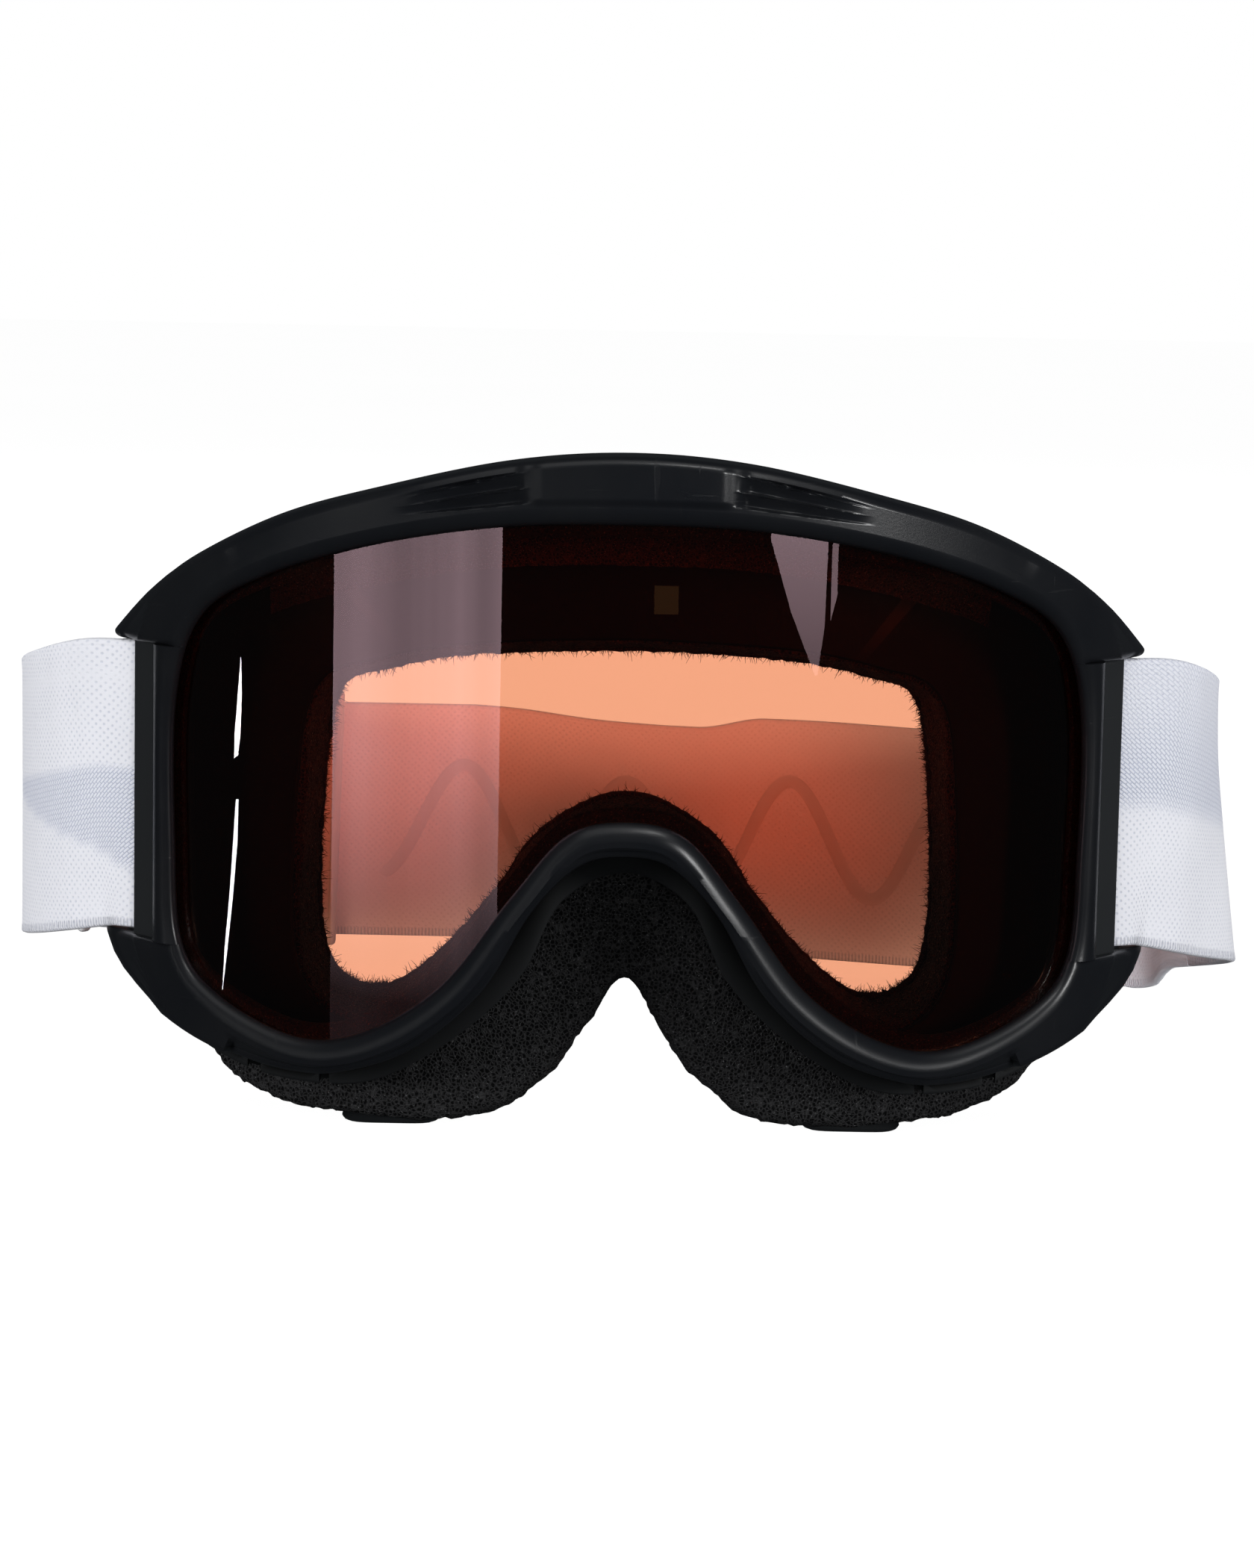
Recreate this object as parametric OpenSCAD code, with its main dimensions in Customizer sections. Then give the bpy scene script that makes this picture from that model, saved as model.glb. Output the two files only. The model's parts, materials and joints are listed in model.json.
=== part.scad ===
// Ski goggles: a soft frame with a cylindrical double lens, face foam, and an elastic strap
// that hangs back from a rod behind each side post. Millimetres, +Z up. The front faces -Y, and
// left and right are as seen from the front. The origin is at the middle of the foot print,
// on the surface that the goggles stand on.

/* [Lens] */
// Radius of the outer face of the lens, which curves about a vertical axis
lens_r = 104; // [98:1:116]
// Thickness of the outer lens
outer_lens_t = 1.2; // [0.8:0.1:1.6]
// Air gap between the lenses, filled at the edge by the spacer
lens_gap = 3.4; // [2:0.1:4]
// Thickness of the inner lens
inner_lens_t = 0.8; // [0.6:0.1:1]
// Depth of the groove that holds the lens edge
lens_cover = 1.5; // [1:0.1:2]
// Width of the foam spacer between the lenses
spacer_w = 3.5; // [2.5:0.5:4]

/* [Frame] */
// How far the rim stands in front of the lens
rim_proud = 2.8; // [2:0.1:3.5]
// Depth of the front rim behind the lens face
rim_depth = 10.5; // [10:0.5:11]
// Depth of the strap wings behind the lens face
wing_depth = 13.5; // [13:0.5:15]
// Depth of the whole frame behind the lens face
frame_depth = 20; // [19:0.5:22]
// Thickness of the frame's walls
wall_t = 2.5; // [2:0.1:3]
// Thickness of the flange that the foam is glued to
flange_t = 2; // [1.5:0.1:2.5]
// Height of the window that the strap leaves by
window_h = 47.5; // [47.5:0.5:49]
// Height of the middle of the window
window_z = 53; // [52:0.5:54]
// Length of each air vent in the top wall
top_vent_l = 17; // [12:1:19]
// Distance between the top vents
top_vent_pitch = 22; // [20:1:22]

/* [Foam] */
// Thickness of the face foam
foam_t = 16; // [12:1:18]
// Thickness of the fleece that faces the skin
fleece_t = 1.5; // [1:0.1:2]
// Thickness of the thin foam over the vents
vent_foam_t = 3; // [2:0.5:4]
// Thickness of the strip under each cheek
strip_t = 2; // [1.5:0.1:2]

/* [Strap] */
// Width of the strap
strap_w = 47; // [38:1:47]
// Thickness of the strap
strap_t = 1.6; // [1.2:0.1:1.8]
// Distance from the lens face to the rear of the loop
loop_depth = 181; // [170:1:200]
// Distance from the middle to the right side of the loop
loop_right = 101; // [99:1:104]
// Radius of the two rear bends
bend_r = 22.5; // [20:0.5:24]
// Distance from the lens face to the line that the strap swings about
swing_y = 70; // [69:1:76]
// Radius of the rods that the strap is sewn round
rod_r = 1.6; // [1.2:0.1:1.6]
// Radius of the bars of the ring and of the slider
bar_r = 1; // [0.8:0.1:1.1]
// Length of the slider along the strap
slider_l = 22; // [20:1:24]
// Middle of the slider, to the left of the middle of the strap
slider_x = 63; // [61:1:64]
// Length of one wave of the grip beading
wave_l = 32; // [24:2:40]
// Height of the grip waves from the middle to a crest
wave_h = 11; // [6:1:15]

/* [Hidden] */
$fn = 48;

black = "#1d2023";
charcoal = "#2b2f32";
copper = [0.78, 0.4, 0.28, 0.55];
foam_black = "#19191b";
strap_white = "#eceef3";
thread_white = "#d8dce4";
buckle_white = "#dfe1e6";
clear_silicone = [0.85, 0.86, 0.9, 0.7];

seat_gap = 0.05;            // between pieces that are glued or pressed together
run_gap = 0.3;              // between pieces that move
spacer_r = lens_r - outer_lens_t;
inner_r = spacer_r - lens_gap;
seat_r = inner_r - inner_lens_t;
tall = 130;                 // taller than the goggles
left = -1;
right = 1;

// Half outlines, [x, z], from the middle of the top, round the right side, to the nose
lens_half = [[0, 99], [20, 98.2], [40, 94.6], [57, 88.8], [67.5, 81.5], [71.6, 68], [71.7, 46],
    [70.4, 29.5], [64, 21.9], [51, 17.1], [40, 19.1], [28, 27.4], [17.5, 41.5], [9, 51.5], [0, 53.8]];
body_half = [[0, 106], [20, 104.6], [40, 99.8], [56, 94], [67.5, 86.5], [73.4, 76], [74.2, 62],
    [74.2, 44], [74.6, 27], [71.5, 14.5], [61, 9], [50, 7.8], [40, 9], [31, 13.7], [22, 20.8],
    [15.4, 28.4], [9.8, 39.5], [0, 44.3]];
face_half = [[0, 76.7], [25, 75.3], [39, 72], [46.4, 68.6], [49, 57], [49.9, 32], [46.5, 21.6],
    [38, 20.2], [29, 27.2], [20.5, 37.4], [13, 47.6], [0, 53.4]];
foam_half = [[0, 104.3], [20, 102.9], [40, 98], [56, 92], [67, 84], [71.6, 73], [72, 58], [72, 40],
    [71.8, 22], [66, 7.2], [55, 2.8], [44, 2.3], [31, 2.4], [20, 3.8], [11, 9.8], [5.5, 18.2], [0, 25.5]];
rim_top = [[0, 109.4], [19, 107.8], [40, 102.8], [55, 98], [69, 90.7], [77, 84.4], [83.2, 77.6]];
rim_bottom = [[84.5, 28], [81.8, 23.2], [74, 17.3], [64, 13.3], [51, 11.3], [40, 13.6], [31, 18],
    [21.5, 27], [14.2, 39.5], [7, 46.9], [0, 48.3]];
wing_in = 74.4;             // where the wings and the post start, beside the lens

// The strap's rod, post and hinge line, and what follows from them
rod_x = 78.8;
rod_y = 41;
rod_l = 55;
eye_r = rod_r + 0.15 + strap_t;
wrap_r = bar_r + seat_gap + strap_t / 2;
ring_front_y = 128;
ring_rear_y = 136.5;
loop_left = -(loop_right - 2 * wrap_r);
ring_x = loop_left - wrap_r;
side_end_y = 122;
tail_y = loop_depth + strap_t / 2 + run_gap + strap_t + bar_r + seat_gap;
keeper_y = loop_depth - strap_t / 2 - 0.7 - bar_r;
rail_in = strap_w / 2 + 0.3;
rail_t = 2.2;
rail_depth = 2.4;
grip_t = 0.35;

// The strap hangs until the slider's rail is on the surface that the goggles stand on
droop_arm = tail_y + rail_depth / 2 - swing_y;
droop_drop = rail_in + rail_t;
droop = asin(window_z / norm([droop_arm, droop_drop])) - atan2(droop_drop, droop_arm);
back_y = swing_y + (tail_y + wrap_r + strap_t / 2 - swing_y) * cos(droop) + strap_w / 2 * sin(droop);
mid_y = (back_y - rim_proud) / 2;

function wrap(p, i) = p[(i + len(p)) % len(p)];
function ends(p, i) = p[max(0, min(len(p) - 1, i))];
function curve(a, b, c, d, t) = (2 * b + (c - a) * t + (2 * a - 5 * b + 4 * c - d) * t * t
    + (3 * b - a - 3 * c + d) * t * t * t) / 2;
function flip(p) = [for (i = [len(p) - 1:-1:0]) [-p[i].x, p[i].y]];
function loop_of(half) = [for (i = [0:len(half) - 1]) half[i],
    for (i = [len(half) - 2:-1:1]) [-half[i].x, half[i].y]];
// A smooth closed outline through the points of a half outline and its mirror image
function outline(half, n = 4) = let (p = loop_of(half)) [for (i = [0:len(p) - 1], k = [0:n - 1])
    curve(wrap(p, i - 1), p[i], wrap(p, i + 1), wrap(p, i + 2), k / n)];
// A smooth open line through points
function line(p, n = 4) = [for (i = [0:len(p) - 2], k = [0:n - 1])
    curve(ends(p, i - 1), p[i], p[i + 1], ends(p, i + 2), k / n), p[len(p) - 1]];
function unit(v) = v / norm(v);
function left_of(v) = [-v.y, v.x];
// A closed outline moved outwards
function grow(p, d) = [for (i = [0:len(p) - 1]) p[i] + d * left_of(unit(wrap(p, i + 1) - wrap(p, i - 1)))];
// The outline of a band of thickness t along a line
function band(p, t) = let (n = [for (i = [0:len(p) - 1]) left_of(unit(ends(p, i + 1) - ends(p, i - 1)))])
    [for (i = [0:len(p) - 1]) p[i] + n[i] * t / 2, for (i = [len(p) - 1:-1:0]) p[i] - n[i] * t / 2];
function arc(c, r, a, b, n = 8) = [for (i = [0:n]) c + r * [cos(a + (b - a) * i / n), sin(a + (b - a) * i / n)]];
// How far back the lens face lies at x
function sag(x) = lens_r - sqrt(lens_r * lens_r - x * x);

lens_line = outline(lens_half);
body_line = outline(body_half);
wing_top = window_z + window_h / 2;
wing_bottom = window_z - window_h / 2;
rim_right = [[83.2, wing_top], [wing_in, wing_top], [wing_in, wing_bottom], [84.5, wing_bottom]];
rim_line = let (top = line(concat(flip(rim_top), [for (i = [1:len(rim_top) - 1]) rim_top[i]])),
        low = line(concat(rim_bottom, [for (i = [len(rim_bottom) - 2:-1:0]) [-rim_bottom[i].x, rim_bottom[i].y]])))
    concat(top, rim_right, low, flip(rim_right));

module place() translate([0, -mid_y, 0]) children();

// An outline in the XZ plane, pushed back from the front to the axis that the lens curves about
module pushed(p) translate([0, lens_r, 0]) rotate([90, 0, 0]) linear_extrude(lens_r + 20) polygon(p);

// Everything behind a face that is round about the lens axis
module behind_r(r) translate([0, lens_r, -5]) cylinder(r = r, h = tall);

// Everything behind the lens face moved straight back by d
module behind_y(d) translate([0, lens_r + d, -5]) cylinder(r = lens_r, h = tall);

// Outline p between a round front face and a back face that lies depth behind the lens face
module slab(p, front_r, depth) intersection() {
    pushed(p);
    difference() {
        behind_r(front_r);
        behind_y(depth);
    }
}

// Outline p between two faces that lie at two depths behind the lens face
module layer(p, from, to) intersection() {
    pushed(p);
    difference() {
        behind_y(from);
        behind_y(to);
    }
}

module beyond(side, x) translate([side > 0 ? x : -x - tall, -tall / 2, -5]) cube([tall, 2 * tall, tall]);

// One side's flat post, which stands in front of the rod
module post(side) {
    plan = [[73.7, 32.8], [79, 34.6], [79, 37.2], [73.7, 37.2]];
    translate([0, 0, wing_bottom - 2]) linear_extrude(window_h + 4)
        polygon(side > 0 ? plan : flip(plan));
}

// Cutters for the vents, which have slanting struts between them
module top_vents() for (i = [-2:2]) {
    x = i * top_vent_pitch;
    y = sag(x);
    h = top_vent_l / 2;
    lean = 2.5 * (i % 2 == 0 ? 1 : -1);
    slope = (sag(abs(x) + 1) - y) * sign(x);
    translate([x, y, 92]) linear_extrude(30) polygon([[-h - lean, rim_depth + 1 - slope * h],
        [h + lean, rim_depth + 1 + slope * h], [h - lean, frame_depth - flange_t - 0.8 + slope * h],
        [-h + lean, frame_depth - flange_t - 0.8 - slope * h]]);
}

module bottom_vents() for (x = [-56, -44, 44, 56])
    translate([x - 4, sag(x) + rim_depth + 1.2, 0]) cube([8, frame_depth - flange_t - rim_depth - 2.4, 14]);

module rod_holes() for (x = [-rod_x, rod_x])
    translate([x, rod_y, window_z - rod_l / 2 - seat_gap]) cylinder(r = rod_r + seat_gap, h = rod_l + 2 * seat_gap);

// The bead round the lens with the lens groove in it, the brow, the wings and the posts
module front_rim() color(black) place() {
    difference() {
        union() {
            slab(rim_line, lens_r + rim_proud, rim_depth);
            intersection() {
                slab(rim_line, lens_r + rim_proud, wing_depth);
                union() {
                    beyond(left, wing_in + 0.5);
                    beyond(right, wing_in + 0.5);
                }
            }
        }
        pushed(lens_line);
        intersection() {
            pushed(grow(lens_line, lens_cover + seat_gap));
            difference() {
                behind_r(lens_r + seat_gap);
                behind_r(seat_r - seat_gap);
            }
        }
        rod_holes();
    }
    post(left);
    post(right);
}

// The vented wall behind the rim, with the flange that the foam is glued to
module frame_body() color(charcoal) place() difference() {
    layer(body_line, rim_depth + seat_gap, frame_depth);
    layer(grow(body_line, -wall_t), 0, frame_depth - flange_t);
    pushed(grow(outline(face_half), 3));
    top_vents();
    bottom_vents();
}

module lens_plate(p, r, t) intersection() {
    pushed(p);
    difference() {
        behind_r(r);
        behind_r(r - t);
    }
}

module outer_lens() color(copper) place() lens_plate(grow(lens_line, lens_cover), lens_r, outer_lens_t);

module inner_lens() color(copper) place()
    lens_plate(grow(lens_line, lens_cover), inner_r - seat_gap, inner_lens_t - seat_gap);

module lens_spacer() color(foam_black) place() difference() {
    lens_plate(grow(lens_line, lens_cover), spacer_r - seat_gap, lens_gap - seat_gap);
    pushed(grow(lens_line, lens_cover - spacer_w));
}

// The band of thin foam that lines the inside of the frame's wall
module vent_lining() difference() {
    layer(grow(body_line, -wall_t - seat_gap), rim_depth + seat_gap, frame_depth - flange_t - seat_gap);
    pushed(grow(body_line, -wall_t - vent_foam_t));
}

module top_vent_foam() color(foam_black) place() intersection() {
    vent_lining();
    translate([-57, -10, 80]) cube([114, 80, 40]);
}

module bottom_vent_foam(side) color(foam_black) place() intersection() {
    vent_lining();
    translate([side * 50 - 13, -10, 0]) cube([26, 80, 25]);
}

module bottom_vent_foam_left() bottom_vent_foam(left);

module bottom_vent_foam_right() bottom_vent_foam(right);

module face_foam() color(foam_black) place() difference() {
    layer(outline(foam_half), frame_depth + seat_gap, frame_depth + foam_t);
    pushed(outline(face_half));
}

module face_fleece() color(charcoal) place() difference() {
    layer(grow(outline(foam_half), -0.8), frame_depth + foam_t + seat_gap, frame_depth + foam_t + fleece_t);
    pushed(grow(outline(face_half), -0.6));
}

// The smooth strip under one cheek, with round ends
module cheek_strip(side) color(black) place() translate([side * 37, 0, 0])
    linear_extrude(strip_t) for (x = [-5, 5]) translate([x, 35]) {
        translate([0, 7]) circle(3);
        translate([0, -7]) circle(3);
        translate([-3, -7]) square([6, 14]);
        translate([x > 0 ? -5.5 : -0.5, -10]) square([6, 20]);
    }

module cheek_strip_left() cheek_strip(left);

module cheek_strip_right() cheek_strip(right);

module strap_rod(side) color(charcoal) place()
    translate([side * rod_x, rod_y, window_z - rod_l / 2]) cylinder(r = rod_r, h = rod_l);

module strap_rod_left() strap_rod(left);

module strap_rod_right() strap_rod(right);

// The strap's middle line from the rod to the end of one side
function side_line(side) = let (x = side > 0 ? loop_right : -loop_left)
    line([[80.8, 42.6], [86.5, 46.4], [93, 52.6], [x - 3, 60.5], [x - 0.4, 69], [x, 79], [x, side_end_y]]);

module strap_band(p, t = strap_t, w = strap_w) translate([0, 0, window_z - w / 2]) linear_extrude(w)
    polygon(band(p, t));

module on_side(side) mirror([side > 0 ? 0 : 1, 0, 0]) children();

// A drum about the hinge line, and the space that the swinging strap needs around it
module swing_drum(r) translate([0, swing_y, window_z]) rotate([0, 90, 0]) cylinder(r = r, h = tall);

module swing_space() {
    swing_drum(strap_w / 2 + 0.5);
    for (a = [-36, 0, 33]) translate([0, swing_y, window_z]) rotate([a, 0, 0])
        translate([0, -0.5, -strap_w]) cube([tall, tall, 2 * strap_w]);
}

module strap_root(side) color(strap_white) place() on_side(side) difference() {
    union() {
        translate([rod_x, rod_y, window_z - strap_w / 2]) cylinder(r = eye_r, h = strap_w);
        strap_band(side_line(side));
    }
    translate([rod_x, rod_y, 0]) cylinder(r = rod_r + seat_gap, h = tall);
    swing_space();
}

module strap_root_left() strap_root(left);

module strap_root_right() strap_root(right);

// A row of thread stitches along Z, standing on a band that faces the direction a
module stitch_row(count, pitch) for (i = [0:count - 1])
    translate([-0.15, -0.4, (i - (count - 1) / 2) * pitch - 1.1]) cube([0.4, 0.8, 2.2]);

module root_stitch(side) color(thread_white) place() on_side(side)
    translate([83.9, 43.4, window_z]) rotate([0, 0, -55]) stitch_row(11, 3.6);

module root_stitch_left() root_stitch(left);

module root_stitch_right() root_stitch(right);

// The loop hangs down from the hinge line
module hang() translate([0, swing_y, window_z]) rotate([-droop, 0, 0]) translate([0, -swing_y, -window_z])
    children();

module strap_side(side) color(strap_white) place() hang() on_side(side) intersection() {
    strap_band(side_line(side));
    union() {
        swing_drum(strap_w / 2);
        translate([0, swing_y, 0]) cube([tall, tall, tall]);
    }
}

module strap_side_left() strap_side(left);

module strap_side_right() strap_side(right);

// The long strap: up the right side, across the rear, and round the ring's rear bar
long_line = concat([[loop_right, side_end_y + run_gap]],
    arc([loop_right - bend_r, loop_depth - bend_r], bend_r, 0, 90),
    arc([loop_left + bend_r, loop_depth - bend_r], bend_r, 90, 180),
    arc([ring_x, ring_rear_y], wrap_r, 0, -180, 16));

module strap_long() color(strap_white) place() hang() strap_band(long_line);

module ring_eye() color(strap_white) place() hang() difference() {
    union() {
        strap_band([[loop_left, side_end_y + run_gap], [loop_left, ring_front_y]]);
        translate([ring_x, ring_front_y, window_z - strap_w / 2]) cylinder(r = bar_r + strap_t, h = strap_w);
    }
    translate([ring_x, ring_front_y, 0]) cylinder(r = bar_r + seat_gap, h = tall);
}

module ring_stitch() color(thread_white) place() hang()
    translate([loop_left - strap_t / 2 - 0.25, ring_front_y - 4, window_z]) stitch_row(11, 3.6);

// Bars along Z at the given places, joined above and below the strap by rails
module buckle(bars, rail) {
    for (p = bars) translate([p.x, p.y, window_z - rail_in - 1]) cylinder(r = bar_r, h = 2 * rail_in + 2);
    for (z = [window_z - rail_in - rail_t, window_z + rail_in]) translate([0, 0, z])
        linear_extrude(rail_t) polygon(band(rail, rail_depth));
}

module strap_ring() color(buckle_white) place() hang() buckle([[ring_x, ring_front_y], [ring_x, ring_rear_y]],
    [[ring_x, ring_front_y - 1.6], [ring_x, ring_rear_y + 1.6]]);

// The silicone beading that keeps the strap on a helmet, on the inside of the rear
module grip_wave() color(clear_silicone) place() hang() {
    p = [for (x = [-48:2:66]) [x, window_z + wave_h * cos(360 * x / wave_l)]];
    translate([0, loop_depth - strap_t / 2, 0]) rotate([90, 0, 0]) linear_extrude(grip_t) polygon(band(p, 2.4));
}

// The layer that comes back from the ring to the slider, outside the long strap
module strap_return() color(strap_white) place() hang() {
    out = 2 * wrap_r;
    strap_band(line(concat([[loop_left - out, ring_rear_y + 0.2], [loop_left - out, 150]],
        arc([loop_left + bend_r, loop_depth - bend_r], bend_r + out, 180, 90),
        [[-slider_x - 3.2, tail_y + wrap_r]]), 2));
}

module slider() color(buckle_white) place() hang() {
    e = slider_l / 2 - bar_r - 0.2;
    x = -slider_x;
    buckle([[x - e, keeper_y], [x, tail_y], [x + e, keeper_y]],
        line([[x - e - bar_r, keeper_y - 0.4], [x - e / 2, (keeper_y + tail_y) / 2 + 0.3], [x, tail_y],
            [x + e / 2, (keeper_y + tail_y) / 2 + 0.3], [x + e + bar_r, keeper_y - 0.4]]));
}

// The end of the strap, turned round the slider's middle bar and sewn back
module tail_eye() color(strap_white) place() hang() difference() {
    union() {
        translate([-slider_x, tail_y, window_z - strap_w / 2]) cylinder(r = bar_r + strap_t, h = strap_w);
        strap_band([[-slider_x - 10, tail_y - wrap_r], [-slider_x, tail_y - wrap_r]]);
    }
    translate([-slider_x, tail_y, 0]) cylinder(r = bar_r + seat_gap, h = tall);
}

module tail_stitch() color(thread_white) place() hang()
    translate([-slider_x - 6, tail_y - wrap_r + strap_t / 2 + 0.3, window_z]) rotate([0, 0, -90])
        stitch_row(11, 3.6);

front_rim();
frame_body();
outer_lens();
lens_spacer();
inner_lens();
top_vent_foam();
bottom_vent_foam_left();
bottom_vent_foam_right();
face_foam();
face_fleece();
cheek_strip_left();
cheek_strip_right();
strap_rod_left();
strap_rod_right();
strap_root_left();
strap_root_right();
root_stitch_left();
root_stitch_right();
strap_side_left();
strap_side_right();
strap_long();
ring_eye();
ring_stitch();
strap_ring();
grip_wave();
strap_return();
slider();
tail_eye();
tail_stitch();
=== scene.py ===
"""Ski goggles: the looks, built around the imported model. Metres, in the model's own frame.

Most shapes are made in millimetres in a frame whose Y is 0 at the middle of the lens's front face,
and place() moves them to the model's frame.
"""

import json
import math

import bmesh
import bpy
import numpy as np
from mathutils import Matrix, Vector, noise

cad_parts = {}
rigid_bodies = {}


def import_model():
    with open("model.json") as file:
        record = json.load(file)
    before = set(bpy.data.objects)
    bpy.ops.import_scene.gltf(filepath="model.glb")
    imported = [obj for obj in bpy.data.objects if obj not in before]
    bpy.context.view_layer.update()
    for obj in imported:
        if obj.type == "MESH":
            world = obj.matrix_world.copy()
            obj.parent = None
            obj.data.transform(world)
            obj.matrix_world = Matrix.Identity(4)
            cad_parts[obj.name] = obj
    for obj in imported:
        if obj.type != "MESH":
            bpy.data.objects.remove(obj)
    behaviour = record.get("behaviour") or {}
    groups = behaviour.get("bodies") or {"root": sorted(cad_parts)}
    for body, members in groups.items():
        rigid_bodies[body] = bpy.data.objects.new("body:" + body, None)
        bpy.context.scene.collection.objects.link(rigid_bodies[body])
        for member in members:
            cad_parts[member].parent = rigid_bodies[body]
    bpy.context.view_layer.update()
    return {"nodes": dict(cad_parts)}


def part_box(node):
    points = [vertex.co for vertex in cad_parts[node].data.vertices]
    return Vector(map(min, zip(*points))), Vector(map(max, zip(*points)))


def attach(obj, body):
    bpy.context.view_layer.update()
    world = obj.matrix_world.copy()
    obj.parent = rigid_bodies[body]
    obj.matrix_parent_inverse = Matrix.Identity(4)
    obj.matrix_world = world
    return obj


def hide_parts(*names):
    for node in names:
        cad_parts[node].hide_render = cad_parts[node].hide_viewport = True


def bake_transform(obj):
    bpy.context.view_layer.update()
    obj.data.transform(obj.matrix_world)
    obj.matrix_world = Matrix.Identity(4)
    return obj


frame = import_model()
noise.seed_set(7)               # the vector noise starts from the clock without it

MM = 0.001
APEX_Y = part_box("outer_lens")[0].y

# Sizes shared with the part, in millimetres
LENS_R = 104.0
OUTER_T = 1.2
INNER_R = 99.35
INNER_T = 0.75
LENS_COVER = 1.5
RIM_DEPTH = 10.5
WING_DEPTH = 13.5
FRAME_DEPTH = 20.0
FLANGE_T = 2.0
WALL_T = 2.5
FOAM_BACK = 36.0
FLEECE_BACK = 37.5
WING_TOP = 76.75
WING_BOTTOM = 29.25
WING_IN = 74.4
POST_OUT = 79.0
PANEL_FRONT_Y = 31.6
PANEL_BACK_Y = 34.5
SIDE_X = 60.0               # the lens outline beyond this X is its side
STRAP_Z = 53.0
STRAP_HALF = 23.4
STRAP_T = 1.6
SPLIT_Y = 95.0
NEAR_SLOPE = {-1: 0.206, 1: 0.23}
FAR_SLOPE = {-1: 0.164, 1: 0.197}
LOOP_DEPTH = 181.0
LOOP_RIGHT = 101.0
BEND_R = 22.5
BAR_R = 1.0
WRAP_R = 1.85
LOOP_LEFT = -(LOOP_RIGHT - 2 * WRAP_R)
RING_X = LOOP_LEFT - WRAP_R
RING_FRONT_Y = 128.0
RING_REAR_Y = 136.5
SIDE_END_Y = 122.0
SLIDER_X = 63.0
TAIL_Y = LOOP_DEPTH + STRAP_T / 2 + 0.3 + STRAP_T + BAR_R + 0.05
KEEPER_Y = LOOP_DEPTH - STRAP_T / 2 - 0.7 - BAR_R

# Half outlines, (x, z), from the middle of the top round the right side to the nose
LENS_HALF = [(0, 99), (20, 98.2), (40, 94.6), (57, 88.8), (67.5, 81.5), (71.6, 68), (71.7, 46),
             (70.4, 29.5), (64, 21.9), (51, 17.1), (40, 19.1), (28, 27.4), (17.5, 41.5), (9, 51.5), (0, 53.8)]
BODY_HALF = [(0, 106), (20, 104.6), (40, 99.8), (56, 94), (67.5, 86.5), (73.4, 76), (74.2, 62), (74.2, 44),
             (74.6, 27), (71.5, 14.5), (61, 9), (50, 7.8), (40, 9), (31, 13.7), (22, 20.8), (15.4, 28.4),
             (9.8, 39.5), (0, 44.3)]
FACE_HALF = [(0, 76.8), (25, 75.4), (39, 72.3), (46.4, 69), (49, 57), (49.9, 32), (46.5, 21.6), (38, 20.2),
             (29, 27.2), (20.5, 37.4), (13, 47.6), (0, 53.4)]
FOAM_HALF = [(0, 104.3), (20, 102.9), (40, 98), (56, 92), (67, 84), (71.6, 73), (72, 58), (72, 40),
             (71.8, 22), (66, 6.9), (55, 1.9), (44, 0.9), (31, 0.9), (20, 3), (11, 9.8), (5.5, 18.2),
             (0, 25.5)]
RIM_TOP = [(0, 109.4), (19, 107.8), (40, 102.8), (55, 98), (69, 90.7), (77, 84.4), (83.2, 77.6)]
RIM_BOTTOM = [(84.5, 28), (81.8, 23.2), (74, 17.3), (64, 13.3), (51, 11.3), (40, 13.6), (31, 18), (21.5, 27),
              (14.2, 39.5), (7, 46.9), (0, 48.3)]
# Which points of a half outline are the top, top corner, side, lower corner, lowest point and nose
BODY_MARKS = [0, 4, 7, 9, 11, 17]
FACE_MARKS = [0, 3, 4, 6, 7, 11]
FOAM_MARKS = [0, 4, 7, 9, 11, 16]
FOAM_LINES = [(BODY_HALF, BODY_MARKS), (FACE_HALF, FACE_MARKS), (FOAM_HALF, FOAM_MARKS)]


def place(points):
    """Points in millimetres from the lens's front to metres in the model's frame."""
    p = np.asarray(points, float) * MM
    p[..., 1] += APEX_Y
    return p


def step(a, b, value):
    """0 up to a, 1 from b on, and smooth between them."""
    t = np.clip((np.asarray(value, float) - a) / (b - a), 0, 1)
    return t * t * (3 - 2 * t)


def catmull(points, per, closed):
    p = np.asarray(points, float)
    n = len(p)
    out = []
    for i in range(n if closed else n - 1):
        a, b, c, d = [p[k % n] if closed else p[min(max(k, 0), n - 1)] for k in (i - 1, i, i + 1, i + 2)]
        for k in range(per):
            t = k / per
            out.append((2 * b + (c - a) * t + (2 * a - 5 * b + 4 * c - d) * t * t
                        + (3 * b - a - 3 * c + d) * t ** 3) / 2)
    if not closed:
        out.append(p[-1])
    return np.array(out)


def whole(half):
    """A half outline with its mirror image, as one closed outline."""
    return list(half) + [(-x, z) for x, z in half[-2:0:-1]]


def half_curve(half, per=16):
    """The right half of the smooth closed outline through a half outline's points."""
    return catmull(whole(half), per, True)[: (len(half) - 1) * per + 1]


def lengths(poly):
    return np.concatenate([[0], np.cumsum(np.linalg.norm(np.diff(poly, axis=0), axis=1))])


def along(poly, at):
    """Points of a polyline at the given distances along it."""
    s = lengths(poly)
    return np.stack([np.interp(at, s, poly[:, k]) for k in range(poly.shape[1])], axis=1)


def tangents(poly):
    t = np.gradient(poly, axis=0)
    return t / np.linalg.norm(t, axis=1, keepdims=True)


def outward(poly):
    """Unit normals that point away from the inside of a half outline that runs clockwise."""
    t = tangents(poly)
    return np.stack([-t[:, 1], t[:, 0]], axis=1)


def sag(x):
    """How far the lens face lies behind its middle."""
    return LENS_R - np.sqrt(LENS_R ** 2 - np.asarray(x, float) ** 2)


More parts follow.
